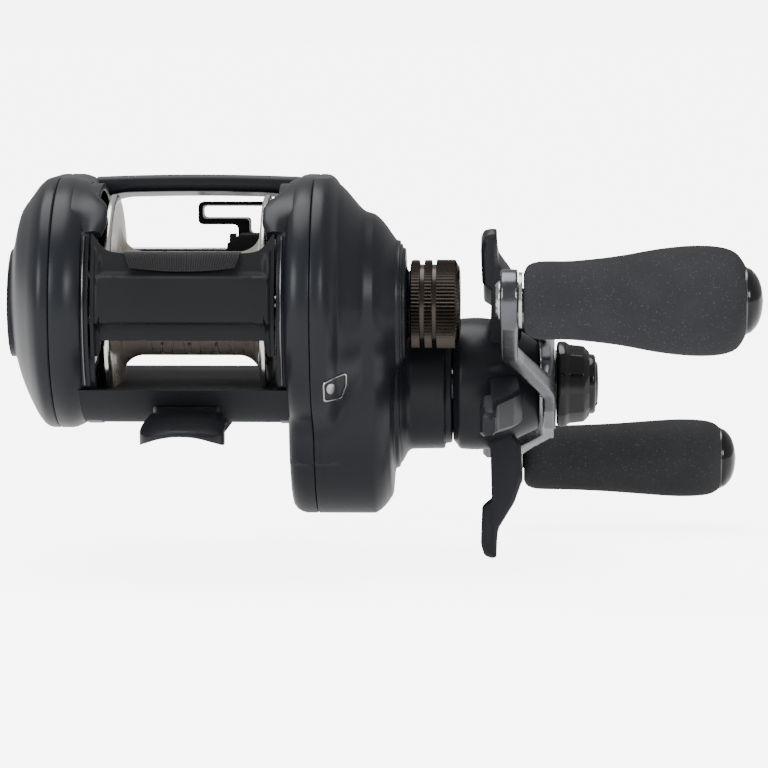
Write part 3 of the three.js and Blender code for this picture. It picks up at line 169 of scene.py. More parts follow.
def steps_between(a, b, count):
    """Evenly spaced values from a to b, both included."""
    return [a + (b - a) * i / count for i in range(count + 1)]


def softened(points, radius, closed=True, steps=4):
    """An outline with each corner rounded, as far as its sides allow."""
    count = len(points)
    found = []
    for i, point in enumerate(points):
        if not closed and i in (0, count - 1):
            found.append(point)
            continue
        here = Vector(point)
        to_last = Vector(points[i - 1]) - here
        to_next = Vector(points[(i + 1) % count]) - here
        reach = min(radius, to_last.length * 0.45, to_next.length * 0.45)
        start = here + to_last.normalized() * reach
        end = here + to_next.normalized() * reach
        for k in range(steps + 1):
            t = k / steps
            spot = start * (1 - t) ** 2 + here * 2 * t * (1 - t) + end * t * t
            found.append(tuple(spot))
    return found


def circle(centre, radius, count, start=0.0):
    """Evenly spaced points on a circle."""
    angles = (start + TURN * i / count for i in range(count))
    return [(centre[0] + radius * math.cos(a), centre[1] + radius * math.sin(a)) for a in angles]


# ---------------------------------------------------------------- outline of the body


def body_edge():
    """The body seen from the side: an ellipse behind the spool, a level roof and a falling nose."""
    y, middle = SPOOL[0], (ROOF + BASE) / 2
    nose = (WORM[0] + 11.5, WORM[1] - 1.5)
    front_roof = (y + SPOOL_RADIUS, ROOF)
    heel = (WORM[0] + 4.5, BASE)
    edge = [(y, BASE), heel]
    edge += bezier(heel, (nose[0] - 1, BASE), (nose[0] + 1, nose[1] - 8), nose, 40)
    edge += bezier(nose, (nose[0] - 3, ROOF - 4.5), (y + 25, ROOF - 0.5), front_roof, 60)
    edge.append((y, ROOF))
    for i in range(1, 90):
        a = math.pi / 2 + math.pi * i / 90
        edge.append((y + REAR_REACH * math.cos(a), middle + (ROOF - BASE) / 2 * math.sin(a)))
    return edge


EDGE = body_edge()


def reach_of_edge(centre, angle):
    """How far the body's outline is from a centre inside it, in one direction."""
    dy, dz = math.cos(angle), math.sin(angle)
    best = 0.0
    for i, start in enumerate(EDGE):
        end = EDGE[(i + 1) % len(EDGE)]
        ay, az = start[0] - centre[0], start[1] - centre[1]
        by, bz = end[0] - start[0], end[1] - start[1]
        cross = dy * bz - dz * by
        if abs(cross) < 1e-9:
            continue
        share = (ay * dz - az * dy) / cross
        if -1e-6 <= share <= 1 + 1e-6:
            best = max(best, (ay * bz - az * by) / cross)
    return best


def reach_of_circle(centre, angle, middle, radius):
    """How far a circle's edge is from a centre, or 0 where that direction misses it."""
    dy, dz = math.cos(angle), math.sin(angle)
    oy, oz = middle[0] - centre[0], middle[1] - centre[1]
    along = oy * dy + oz * dz
    room = radius * radius - (oy * oy + oz * oz - along * along)
    return along + math.sqrt(room) if room > 0 else 0.0


def blended(values, radius):
    """The largest of several values, with a fillet where two are close."""
    best = values[0]
    for value in values[1:]:
        near = max(radius - abs(best - value), 0) / radius
        best = max(best, value) + near * near * radius / 4
    return best


COUNT = 240
ANGLES = [TURN * i / COUNT for i in range(COUNT)]
CENTRE = ((SPOOL[0] + DRIVE[0]) / 2, (SPOOL[1] + DRIVE[1]) / 2)
REACH = [reach_of_edge(CENTRE, a) for a in ANGLES]
PALM_CENTRE = (SPOOL[0] + 5, SPOOL[1] + 3)
PALM_REACH = [reach_of_edge(PALM_CENTRE, a) for a in ANGLES]


def around(centre, reach, x):
    """A ring of points at one x, at each angle's distance from a centre, kept under the roof."""
    return [
        (x, centre[0] + r * math.cos(a), min(centre[1] + r * math.sin(a), ROOF - 0.02))
        for r, a in zip(reach, ANGLES)
    ]


def gear_side_reach(inset, drum, dome=0.0, fillet=2.5):
    """The gear side at one x: the body's outline with the round drum below it and a dome."""
    found = []
    for a, r in zip(ANGLES, REACH):
        parts = [r - inset, reach_of_circle(CENTRE, a, DRIVE, drum)]
        if dome:
            parts.append(reach_of_circle(CENTRE, a, SPOOL, dome))
        found.append(blended(parts, fillet))
    return found


# ---------------------------------------------------------------- shaping


def ring_of(bm, points):
    """A closed loop of edges through points."""
    verts = [bm.verts.new(p) for p in points]
    for i, v in enumerate(verts):
        bm.edges.new((v, verts[(i + 1) % len(verts)]))
    return verts


def loft(bm, rings, start_cap=True, end_cap=True):
    """Skins a row of closed rings with the same number of points by extruding each into the next."""
    verts = ring_of(bm, rings[0])
    if start_cap:
        bm.faces.new(verts)
    for ring in rings[1:]:
        edges = [bm.edges.get((v, verts[(i + 1) % len(verts)])) for i, v in enumerate(verts)]
        grown = bmesh.ops.extrude_edge_only(bm, edges=edges)["geom"]
        fresh = {g for g in grown if isinstance(g, bmesh.types.BMVert)}
        nexts = []
        for v in verts:
            nexts.append(next(e.other_vert(v) for e in v.link_edges if e.other_vert(v) in fresh))
        for v, place in zip(nexts, ring):
            v.co = place
        verts = nexts
    if end_cap:
        bm.faces.new(verts)
    return verts


def turn(bm, profile, axis, steps=96):
    """Spins a profile of (x, radius) round a line along X."""
    verts = [bm.verts.new((x, axis[0], axis[1] + r)) for x, r in profile]
    edges = [bm.edges.new(pair) for pair in zip(verts, verts[1:])]
    bmesh.ops.spin(
        bm, geom=verts + edges, cent=(0, *axis), axis=(1, 0, 0), angle=TURN, steps=steps,
        use_merge=True,
    )
    bmesh.ops.remove_doubles(bm, verts=bm.verts, dist=1e-4)


def turned(profile, axis, steps=96, radius=0.25, closed=False):
    """A shape spun from a profile whose corners are rounded first."""
    bm = bmesh.new()
    outline = softened(profile, radius, closed, steps=3)
    if closed:
        outline.append(outline[0])
    turn(bm, outline, axis, steps)
    return bm


def sheet_with_holes(bm, outlines):
    """A flat face inside the first closed outline and outside the others."""
    edges = []
    for points in outlines:
        verts = ring_of(bm, points)
        edges += [bm.edges.get((v, verts[(i + 1) % len(verts)])) for i, v in enumerate(verts)]
    bmesh.ops.triangle_fill(bm, use_beauty=True, use_dissolve=False, edges=edges)


def thicken(bm, along):
    """Extrudes every face of a flat sheet along a vector, which closes it."""
    grown = bmesh.ops.extrude_face_region(bm, geom=list(bm.faces), use_keep_orig=True)["geom"]
    moving = [g for g in grown if isinstance(g, bmesh.types.BMVert)]
    bmesh.ops.translate(bm, vec=along, verts=moving)
    bmesh.ops.recalc_face_normals(bm, faces=bm.faces)


def break_edges(bm, width, segments=3, angle=35, where=None):
    """Bevels every edge that is sharper than an angle."""
    limit = math.radians(angle)
    sharp = [
        e for e in bm.edges
        if len(e.link_faces) == 2 and e.calc_face_angle(0) > limit and (where is None or where(e))
    ]
    bmesh.ops.bevel(
        bm, geom=sharp, offset=width, offset_type="OFFSET", segments=segments, profile=0.5,
        affect="EDGES", clamp_overlap=True, material=-1,
    )


def sideways(points, x):
    """Points of (y, z) stood up at one x."""
    return [(x, y, z) for y, z in points]


def turn_about(bm, axis, angle):
    """Turns a whole shape round a line along X."""
    bmesh.ops.rotate(bm, verts=bm.verts, cent=(0, *axis), matrix=Matrix.Rotation(angle, 3, "X"))


def all_of(bm):
    """Everything in a shape, as the cutting operators take it."""
    return list(bm.verts) + list(bm.edges) + list(bm.faces)


def add_piece(name, bm, body, slot, *nodes, finish=None, sharp=32):
    """Turns a shape in millimetres into a finished piece that rides on a body."""
    bmesh.ops.recalc_face_normals(bm, faces=bm.faces)
    bmesh.ops.scale(bm, vec=(MM, MM, MM), verts=bm.verts)
    mesh = bpy.data.meshes.new(name)
    bm.to_mesh(mesh)
    bm.free()
    mesh.polygons.foreach_set("use_smooth", [True] * len(mesh.polygons))
    mesh.set_sharp_from_angle(angle=math.radians(sharp))
    piece = bpy.data.objects.new(name, mesh)
    bpy.context.scene.collection.objects.link(piece)
    for material in finish or (FINISHES[slot],):
        mesh.materials.append(material)
    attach(piece, body)
    if nodes:
        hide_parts(*nodes)
    return piece


# ---------------------------------------------------------------- finishes


class Amount:
    """A number that varies over a surface; arithmetic on it adds Math nodes."""

    def __init__(self, finish, socket):
        self.finish = finish
        self.socket = socket

    def _maths(self, operation, first, second=0.0, clamp=False):
        found = self.finish.node(
            "ShaderNodeMath", {"operation": operation, "use_clamp": clamp}, {0: first, 1: second}
        )
        return Amount(self.finish, found.outputs[0])

    def __add__(self, other):
        return self._maths("ADD", self, other)

    def __sub__(self, other):
        return self._maths("SUBTRACT", self, other)

    def __rsub__(self, other):
        return self._maths("SUBTRACT", other, self)

    def __mul__(self, other):
        return self._maths("MULTIPLY", self, other)

    def __truediv__(self, other):
        return self._maths("DIVIDE", self, other)

    def above(self, level):
        return self._maths("GREATER_THAN", self, level)

    def root(self):
        return self._maths("SQRT", self)

    def clamped(self):
        return self._maths("ADD", self, 0.0, clamp=True)

    __radd__ = __add__
    __rmul__ = __mul__


class Finish:
    """A material: a shader with fixed settings, and what varies over the surface."""

    def __init__(self, name, **fixed):
        self.material = bpy.data.materials.new(name)
        self.material.use_nodes = True
        self.tree = self.material.node_tree
        self.shader = self.tree.nodes["Principled BSDF"]
        self.fill(self.shader, {key.replace("_", " "): value for key, value in fixed.items()})
        self.place = self.node("ShaderNodeTexCoord", {}, {}).outputs["Object"]

    def fill(self, node, sockets):
        """Sets or links the inputs of a node."""
        for key, value in sockets.items():
            if isinstance(value, Amount):
                value = value.socket
            if isinstance(value, bpy.types.NodeSocket):
                self.tree.links.new(value, node.inputs[key])
            else:
                node.inputs[key].default_value = value

    def node(self, kind, settings, sockets):
        """A new node with its settings and inputs."""
        made = self.tree.nodes.new(kind)
        for key, value in settings.items():
            setattr(made, key, value)
        self.fill(made, sockets)
        return made

    def noise(self, size, detail=2.0, stretch=None):
        """Noise with features of about this many millimetres."""
        place = self.place
        if stretch:
            place = self.node("ShaderNodeMapping", {}, {"Vector": place, "Scale": stretch}).outputs[0]
        made = self.node(
            "ShaderNodeTexNoise", {}, {"Vector": place, "Scale": 1 / (size * MM), "Detail": detail}
        )
        return Amount(self, made.outputs["Fac"])

    def specks(self, size, share):
        """1 on small round specks in a share of the cells of this many millimetres."""
        made = self.node(
            "ShaderNodeTexVoronoi", {}, {"Vector": self.place, "Scale": 1 / (size * MM)}
        )
        near = 1 - Amount(self, made.outputs["Distance"]).above(0.24)
        red = self.node("ShaderNodeSeparateColor", {}, {"Color": made.outputs["Color"]})
        return near * Amount(self, red.outputs[0]).above(1 - share)

    def radius(self, axis):
        """Distance in millimetres from a line along X."""
        split = self.node("ShaderNodeSeparateXYZ", {}, {"Vector": self.place})
        y = Amount(self, split.outputs["Y"]) - axis[0] * MM
        z = Amount(self, split.outputs["Z"]) - axis[1] * MM
        return (y * y + z * z).root() / MM

    def mix(self, factor, first, second):
        """A colour between two colours."""
        made = self.node(
            "ShaderNodeMix", {"data_type": "RGBA"}, {0: factor, 6: first, 7: second}
        )
        return made.outputs[2]

    def set(self, **sockets):
        """Sets or links the inputs of the shader."""
        self.fill(self.shader, {key.replace("_", " "): value for key, value in sockets.items()})

    def bump(self, height, depth):
        """Relief: height from 0 to 1 stands for this many millimetres."""
        made = self.node(
            "ShaderNodeBump", {}, {"Height": height, "Distance": depth * MM, "Strength": 1.0}
        )
        self.set(Normal=made.outputs[0])


def colour(r, g, b):
    """An opaque colour."""
    return (r, g, b, 1.0)


def paint(name, base, light, roughness, grain=0.12, shine=0.25, relief=0.004):
    """Sprayed or moulded black: a little cloudy in colour and gloss, with a fine grain."""
    made = Finish(name, Specular_IOR_Level=shine)
    cloud = made.noise(9, 3)
    fine = made.noise(grain, 2)
    made.set(
        Base_Color=made.mix(cloud * 0.6 + fine * 0.4, colour(*base), colour(*light)),
        Roughness=cloud * 0.08 + fine * 0.06 + (roughness - 0.07),
    )
    made.bump(fine, relief)
    return made.material


def metal(name, base, light, roughness, brush=(1, 1, 1), grain=0.25, relief=0.002):
    """Bare or plated metal with faint machining marks."""
    made = Finish(name, Metallic=1.0)
    cloud = made.noise(6, 2)
    marks = made.noise(grain, 2, brush)
    made.set(
        Base_Color=made.mix(cloud, colour(*base), colour(*light)),
        Roughness=marks * 0.12 + cloud * 0.05 + (roughness - 0.08),
    )
    made.bump(marks, relief)
    return made.material


def grip_foam():
    """Dark grey foam rubber with fine pores and pale specks."""
    made = Finish("grip_foam", Specular_IOR_Level=0.12)
    pores = made.noise(0.28, 3)
    cloud = made.noise(5, 3)
    flecks = (made.specks(0.42, 0.22) + made.specks(0.27, 0.2)).clamped()
    base = made.mix(
        cloud * 0.6 + pores * 0.4, colour(0.016, 0.0165, 0.0185), colour(0.032, 0.033, 0.036)
    )
    made.set(
        Base_Color=made.mix(flecks * 0.5, base, colour(0.095, 0.095, 0.095)),
        Roughness=pores * 0.15 + 0.72,
    )
    made.bump(pores + flecks * 0.3, 0.05)
    return made.material


def spool_metal():
    """Dark anodised barrel between polished flange rims."""
    made = Finish("spool_metal")
    rim = ((made.radius(SPOOL) - (SPOOL_RADIUS - 1.4)) * 2).clamped()
    rings = made.noise(0.3, 2, (1, 0.05, 0.05))
    made.set(
        Base_Color=made.mix(rim, colour(0.42, 0.38, 0.33), colour(0.66, 0.645, 0.62)),
        Metallic=rim * 0.4 + 0.6,
        Roughness=rings * 0.15 + 0.22 - rim * 0.08,
    )
    made.bump(rings, 0.002)
    return made.material


def woven_carbon():
    """Woven fibre of the drag washers."""
    made = Finish("woven_carbon")
    weave = made.node(
        "ShaderNodeTexBrick", {"offset": 0.5}, {"Vector": made.place, "Scale": 1 / (4 * MM)}
    )
    thread = Amount(made, weave.outputs["Fac"]) * 0.5 + made.noise(0.3) * 0.5
    made.set(
        Base_Color=made.mix(thread, colour(0.012, 0.012, 0.013), colour(0.05, 0.05, 0.052)),
        Roughness=thread * 0.2 + 0.4,
    )
    return made.material


FINISHES = {
    "satin_black": paint("satin_black", (0.0075, 0.0085, 0.011), (0.0115, 0.013, 0.0165), 0.34, shine=0.2),
    "moulded_black": paint("moulded_black", (0.0075, 0.008, 0.009), (0.013, 0.0135, 0.0145), 0.46,
                           grain=0.18, shine=0.12, relief=0.010),
    "gloss_black": paint("gloss_black", (0.004, 0.004, 0.005), (0.007, 0.007, 0.008), 0.13,
                         shine=0.3, relief=0.0008),
    "grip_rubber": grip_foam(),
    "steel": metal("steel", (0.42, 0.42, 0.42), (0.55, 0.55, 0.55), 0.24, (1, 0.1, 0.1)),
    "dark_chrome": metal("dark_chrome", (0.085, 0.088, 0.095), (0.13, 0.134, 0.145), 0.24, (0.3, 1, 1)),
    "bronze_black": metal("bronze_black", (0.036, 0.030, 0.026), (0.065, 0.055, 0.047), 0.27),
    "spool_alloy": spool_metal(),
    "brass": metal("brass", (0.55, 0.40, 0.17), (0.66, 0.50, 0.24), 0.30, (0.2, 1, 1)),
    "acetal": paint("acetal", (0.60, 0.60, 0.56), (0.70, 0.70, 0.66), 0.45, grain=0.3),
    "carbon": woven_carbon(),
    "magnet": metal("magnet", (0.48, 0.47, 0.45), (0.58, 0.57, 0.55), 0.28),
}
FLOOR_PAINT = paint("floor_paint", (0.010, 0.011, 0.013), (0.016, 0.0175, 0.020), 0.6, grain=0.25,
                    shine=0.1, relief=0.02)
# Near-black paint that stands for painted shade: it darkens the inside of the spool's holes and the screws'
# slots, where only shade would fall.
HOLE_SHADE_PAINT = paint("painted_hole_shade", (0.003, 0.003, 0.003), (0.006, 0.006, 0.006), 0.8)
PAD_RUBBER = paint("pad_rubber", (0.016, 0.016, 0.017), (0.030, 0.030, 0.0315), 0.6, grain=0.2,
                   shine=0.15, relief=0.02)


# ---------------------------------------------------------------- frame


def clear_of_wing(points, face, side, centre):
    """Sets back the part of a plate's edge that the line guide's wing slides into."""
    depth = face + side * WING_POCKET
    run = WING_PIVOT[0] - centre[0]
    moved = []
    for (x, y, z), a in zip(points, ANGLES):
        height = centre[1] + run * math.tan(a) if math.cos(a) > 0.1 else 0
        if WING_PIVOT[1] - 1.6 < height < ROOF - 3.6 and side * (x - depth) < 0:
            x = depth
        moved.append((x, y, z))
    return moved


def add_side_plates():
    """The two plates of the frame, each with the round opening that the spool passes through."""
    left = bmesh.new()
    rings = []
    for x, inset in (
        (LEFT_PARTING, 3.0), (LEFT_PARTING, 0.16), (LEFT_PARTING + 0.08, 0.05), (LEFT_PARTING + 0.2, 0),
        (LEFT_FACE - 2.9, 0), (LEFT_FACE - 2.2, 0.15), (LEFT_FACE - 1.4, 0.5), (LEFT_FACE - 0.6, 1.0),
        (LEFT_FACE - 0.15, 1.4), (LEFT_FACE, 2.0),
    ):
        rings.append(around(PALM_CENTRE, [r - inset for r in PALM_REACH], x))
    hole = [reach_of_circle(PALM_CENTRE, a, SPOOL, OPENING) for a in ANGLES]
    for x, grow in ((LEFT_FACE, 0.35), (LEFT_FACE - 0.1, 0.08), (LEFT_FACE - 0.4, 0), (LEFT_PARTING, 0)):
        rings.append(around(PALM_CENTRE, [r + grow for r in hole], x))
    rings = [clear_of_wing(ring, LEFT_FACE, -1, PALM_CENTRE) for ring in rings]
    loft(left, rings + [rings[0]], False, False)
    bmesh.ops.remove_doubles(left, verts=left.verts, dist=1e-4)
    add_piece("frame_left_plate", left, "root", "satin_black", "frame")

    right = bmesh.new()
    rings = []
    for x, inset in (
        (RIGHT_PARTING, 3.0), (RIGHT_PARTING, 0.16), (RIGHT_PARTING - 0.08, 0.05),
        (RIGHT_PARTING - 0.2, 0), (RIGHT_FACE + 2.2, 0), (RIGHT_FACE + 1.4, 0.2),
        (RIGHT_FACE + 0.7, 0.6), (RIGHT_FACE + 0.15, 1.3), (RIGHT_FACE, 2.0),
    ):
        reach = gear_side_reach(inset, DRUM_RADIUS - inset)
        if inset < 3:
            reach = [r + lip_over_drum(a, r, x) for a, r in zip(ANGLES, reach)]
        rings.append(around(CENTRE, reach, x))
    hole = [reach_of_circle(CENTRE, a, SPOOL, OPENING) for a in ANGLES]
    for x, grow in ((RIGHT_FACE, 0.35), (RIGHT_FACE + 0.1, 0.08), (RIGHT_FACE + 0.4, 0)):
        rings.append(around(CENTRE, [r + grow for r in hole], x))
    rings = [clear_of_wing(ring, RIGHT_FACE, 1, CENTRE) for ring in rings]
    loft(right, rings, True, False)
    bmesh.ops.remove_doubles(right, verts=right.verts, dist=1e-4)
    add_piece("frame_right_plate", right, "root", "satin_black")

    well = turned(
        [(RIGHT_FACE + 0.4, OPENING), (RIGHT_FACE + 0.9, OPENING - 0.4), (RIGHT_FACE + 0.9, 6.0),
         (RIGHT_FACE - 1.4, 5.7), (RIGHT_FACE - 1.4, 4.3), (RIGHT_FACE + 1.4, 4.3)],
        SPOOL,
    )
    add_piece("frame_spool_well", well, "root", "satin_black")


def low_outline(inset, top):
    """The part of the body's outline below a height, from front to back."""
    found = []
    for point in around(PALM_CENTRE, [r - inset for r in PALM_REACH], 0):
        if point[2] < top:
            found.append((point[1], point[2]))
    return [(found[0][0] - 0.35, top), *found, (found[-1][0] + 0.35, top)]


def add_floor():
    """The solid floor between the plates."""
    bm = bmesh.new()
    bm.faces.new(ring_of(bm, sideways(low_outline(0.9, FLOOR_TOP), LEFT_FACE - 0.8)))
    thicken(bm, (RIGHT_FACE - LEFT_FACE + 1.6, 0, 0))
    break_edges(bm, 0.5, 4, 40, lambda e: abs(e.verts[0].co.x - e.verts[1].co.x) > 1)
    add_piece("frame_floor", bm, "root", "satin_black", finish=(FLOOR_PAINT,))


def add_foot():
    """Foot with a hollow underside that sits on the rod, thin rounded ends and a thick middle."""
    half, side, rod = 30.0, 6.4, 14.8
    bm = bmesh.new()
    rings = []
    places = [half * math.sin(math.pi / 2 * t) for t in steps_between(-1, 1, 72)]
    for y in places:
        from_end = half - abs(y)
        corner = 4.0
        width = side
        if from_end < corner:
            width = side - corner + math.sqrt(max(0.0, corner ** 2 - (corner - from_end) ** 2))
        width -= 1.0 * ease(24, 14, abs(y))
        height = 0.9 + 2.4 * min(1.0, from_end / 13)
        tip = ease(0, 0.6, from_end)
        ring = []
        for x in steps_between(-width, width, 20):
            below = math.sqrt(rod ** 2 - x ** 2) - rod
            ring.append((x, y, below + 0.12 * (1 - tip)))
        for x in steps_between(width, -width, 20):
            share = abs(x) / width
            below = math.sqrt(rod ** 2 - x ** 2) - rod
            drop = 1.0 * share ** 3
            ring.append((x, y, max(below + 0.5, height - drop - 0.15 * (1 - tip))))
        rings.append(ring)
    loft(bm, rings)
    break_edges(bm, 0.18, 2, 50)
    add_piece("frame_foot", bm, "root", "satin_black")

    neck = bmesh.new()
    rings = []
    for z in steps_between(-0.3, 3.6, 14):
        flare = 1.1 * (1 - math.sqrt(max(0.0, 1 - ((z - 1.7) / 2.2) ** 2)))
        points = softened(
            [(-5.3 - flare, -17 - flare), (5.3 + flare, -17 - flare), (5.3 + flare, 17 + flare),
             (-5.3 - flare, 17 + flare)], 3, steps=8,
        )
        rings.append([(x, y, z) for x, y in points])
    loft(neck, rings)
    add_piece("frame_foot_neck", neck, "root", "satin_black")


def add_shoulders():
    """Hoods over the spool's flanges that close the two upper rear corners of the bay."""
    edge_at = [(30.7, 2.2), (31.3, 2.6), (32.2, 3.0), (33.2, 3.3), (35.0, 3.3), (35.9, 2.9), (36.6, 2.1),
               (37.4, 0.9), (38.0, 0.2), (38.5, -0.3)]
    for side, face, name in ((-1, -LEFT_FACE, "left"), (1, RIGHT_FACE, "right")):
        bm = bmesh.new()
        rings = []
        for angle in steps_between(math.radians(83), math.radians(143.5), 40):
            outer = reach_of_edge(SPOOL, angle)
            inner = OPENING + 0.3
            z = SPOOL[1] + outer * math.sin(angle)
            reach = 0.3 + smooth_through(edge_at, max(30.7, min(38.5, z)))
            sink = 1.4 * ease(34.5, 31.2, z)
            section = softened(
                [(face + 3.0, inner), (face + 3.0, outer - 0.4 - sink), (face + 2.2, outer - 0.18 - sink),
                 (face + 0.6, outer - 0.5 - sink),
                 (face - 0.5 * reach, outer - 0.75),
                 (face - reach, outer - 1.3), (face - reach + 0.15, inner)], 0.9, steps=5,
            )
            rings.append([
                (side * x, SPOOL[0] + r * math.cos(angle), SPOOL[1] + r * math.sin(angle))
                for x, r in section
            ])
        loft(bm, rings)
        add_piece(f"frame_shoulder_{name}", bm, "root", "satin_black")


def add_collars():
    """Raised lips round the spool opening, and bright runners beside the clutch bar."""
    for name, start, end in (
        ("left", LEFT_FACE - 0.5, LEFT_FACE + 1.9), ("right", RIGHT_FACE - 1.4, RIGHT_FACE + 0.5),
    ):
        bm = turned(
            [(start, OPENING), (start, OPENING + 1.1), (end, OPENING + 1.1), (end, OPENING)],
            SPOOL, closed=True, radius=0.2,
        )
        cut = SPOOL[0] - SPOOL_RADIUS + 0.4
        bmesh.ops.bisect_plane(
            bm, geom=all_of(bm), plane_co=(0, cut, 0), plane_no=(0, -1, 0), clear_outer=True,
        )
        bmesh.ops.holes_fill(bm, edges=[e for e in bm.edges if e.is_boundary], sides=0)
        add_piece(f"frame_collar_{name}", bm, "root", "satin_black")
    for name, x in (("left", LEFT_FACE + 0.2), ("right", RIGHT_FACE - 0.6)):
        bm = bmesh.new()
        rings = []
        for z in steps_between(7.2, 30.0, 40):
            y = rear_of_body(z) + 1.3
            rings.append([(x, y, z), (x + 0.28, y - 0.1, z), (x + 0.4, y + 0.7, z), (x, y + 0.7, z)])
        loft(bm, rings)
        break_edges(bm, 0.1, 2, 50)
        add_piece(f"frame_runner_{name}", bm, "root", "dark_chrome")


def add_bar_guides():
    """Dark walls beside the spool that the thumb bar slides along."""
    for side, face, name in ((-1, -LEFT_FACE, "left"), (1, RIGHT_FACE, "right")):
        bm = bmesh.new()
        rings = []
        for z in steps_between(6.9, 30.6, 40):
            y = rear_of_body(z)
            rings.append([
                (side * x, y + out, z)
                for x, out in ((face + 0.3, 1.9), (face - 1.15, 1.9), (face - 1.15, 3.4), (face + 0.3, 3.4))
            ])
        loft(bm, rings)
        break_edges(bm, 0.12, 2, 50)
        add_piece(f"frame_bar_guide_{name}", bm, "root", "satin_black")


def rear_of_body(z):
    """The Y of the body's rear edge at a height."""
    middle, half = (ROOF + BASE) / 2, (ROOF - BASE) / 2
    return SPOOL[0] - REAR_REACH * math.sqrt(max(0.0, 1 - ((z - middle) / half) ** 2))


def add_hood():
    """Bar across the front of the roof, a little arched, flaring into the plates."""
    y = SPOOL[0] + 15
    profile = softened(
        [(y, ROOF - 3.1), (y + 13, ROOF - 4.3), (y + 14.2, ROOF - 3.9), (y + 14, ROOF - 2.9),
         (y + 10, ROOF - 1.5), (y + 4, ROOF - 0.5), (y, ROOF - 0.4), (y - 0.8, ROOF - 1.2),
         (y - 0.8, ROOF - 2.4)], 0.9, steps=4,
    )
    bm = bmesh.new()
    rings = []
    for x in steps_between(LEFT_FACE - 0.6, RIGHT_FACE + 0.6, 48):
        share = abs(x) / RIGHT_FACE
        arch = 0.32 * (1 - share ** 2)
        flare = 1.0 * max(0.0, share - 0.72) ** 2 / 0.08
        rings.append([(x, yy, zz + arch - (flare if zz < ROOF - 2 else 0)) for yy, zz in profile])
    loft(bm, rings)
    add_piece("front_bar", bm, "root", "satin_black", "front_hood")


# ---------------------------------------------------------------- palm side


def add_palm_cover():
    """Domed cover on the side away from the handle, with a pocket for the brake dial."""
    depth, drawn_depth, dial_floor = PALM_START - PALM_CROWN, 8.1, PALM_CROWN + 2.2
    dome = [(0, 1), (1.7, 0.99), (2.9, 0.935), (4.0, 0.85), (5.0, 0.765), (5.75, 0.692), (6.5, 0.612),
            (7.1, 0.53), (7.45, 0.465), (7.62, 0.43), (8.1, 0.3)]
    pocket = 8.35
    dial_pocket = circle(SPOOL, pocket, COUNT)

    def ring_at(into, share, wall=0.0, x_shift=0.0):
        blend = ease(0.7, 0.44, share)
        lift = 0.5 * ease(4, 7.2, into * drawn_depth / depth) * (1 - blend)
        ring = []
        dome_ring = around(
            PALM_CENTRE, [share * r - wall for r in PALM_REACH], PALM_START - into + x_shift
        )
        for (x, y, z), (cy, cz) in zip(dome_ring, dial_pocket):
            ring.append((x, y + (cy - y) * blend, z + lift + (cz - z) * blend))
        return ring

    stations = [0, 0.08, 0.2] + steps_between(0.6, 7.62, 30)
    outer = []
    for into in stations:
        share = smooth_through(dome, into)
        edge = 0.007 * max(0.0, 1 - into / 0.2)
        outer.append(ring_at(into * depth / drawn_depth, share - edge))
    crown = outer[-1][0][0]
    inside = [
        sideways(dial_pocket, crown + 0.25), sideways(dial_pocket, dial_floor),
        sideways(circle(SPOOL, 0.05, COUNT), dial_floor),
    ]
    back = [sideways(circle(SPOOL, 0.05, COUNT), PALM_CROWN + 4)]
    back.append(sideways(circle(SPOOL, pocket + 1.2, COUNT), PALM_CROWN + 4))
    for into in reversed(steps_between(0, 6.0, 10)):
        share = smooth_through(dome, into)
        back.append(ring_at(into * depth / drawn_depth, share, 1.5, 0.6 * min(1, into)))
    bm = bmesh.new()
    loft(bm, back + outer + inside, True, True)
    add_piece("palm_shell", bm, "root", "satin_black", "palm_cover")

    plate = turned(
        [(PALM_START, OPENING - 1.6), (PALM_START, OPENING - 0.3), (LEFT_FACE - 0.5, OPENING - 0.3),
         (LEFT_FACE - 0.5, 11.2), (LEFT_FACE - 1.6, 11.2), (LEFT_FACE - 1.6, OPENING - 1.6)],
        SPOOL, closed=True,
    )
    add_piece("palm_shell_plate", plate, "root", "satin_black")
    hub = turned(
        [(LEFT_FACE - 3.0, 1.8), (LEFT_FACE - 3.0, 5.1), (LEFT_FACE + 1.3, 5.1), (LEFT_FACE + 1.3, 4.05),
         (LEFT_FACE - 0.9, 4.05), (LEFT_FACE - 0.9, 1.8)], SPOOL, closed=True,
    )
    add_piece("palm_shell_hub", hub, "root", "satin_black")


def add_brake_dial():
    """Knurled dial with a grip bar across its face."""
    radius, flutes = 8.0, 64
    bm = bmesh.new()
    rings = []
    for x, drop in (
        (DIAL_BACK, 2.0), (DIAL_BACK, 0.3), (DIAL_BACK - 0.3, 0), (DIAL_FACE + 2.1, 0),
        (DIAL_FACE + 1.75, 0.5), (DIAL_FACE + 1.7, 1.4), (DIAL_FACE + 1.9, 2.0), (DIAL_FACE + 1.9, 6.5),
    ):
        ring = []
        for i in range(flutes * 4):
            a = TURN * i / (flutes * 4)
            dent = 0.22 * (0.5 + 0.5 * math.cos(a * flutes)) if drop < 0.4 else 0
            r = radius - drop - dent
            ring.append((x, SPOOL[0] + r * math.cos(a), SPOOL[1] + r * math.sin(a)))
        rings.append(ring)
    loft(bm, rings)
    add_piece("brake_knob", bm, "dial", "dark_chrome", "brake_dial", finish=(FINISHES["satin_black"],))
    bar = bmesh.new()
    rings = []
    for into, drop in ((2.0, 0), (1.2, 0), (0.9, 0.2), (0.8, 0.6)):
        x, y, z = DIAL_FACE + into, 6.6 - drop, 1.6 - drop
        points = softened([(-y, -z), (y, -z), (y, z), (-y, z)], 0.9)
        rings.append([(x, SPOOL[0] + u, SPOOL[1] + v) for u, v in points])
    loft(bar, rings)
    add_piece("brake_knob_bar", bar, "dial", "dark_chrome")


# ---------------------------------------------------------------- spool


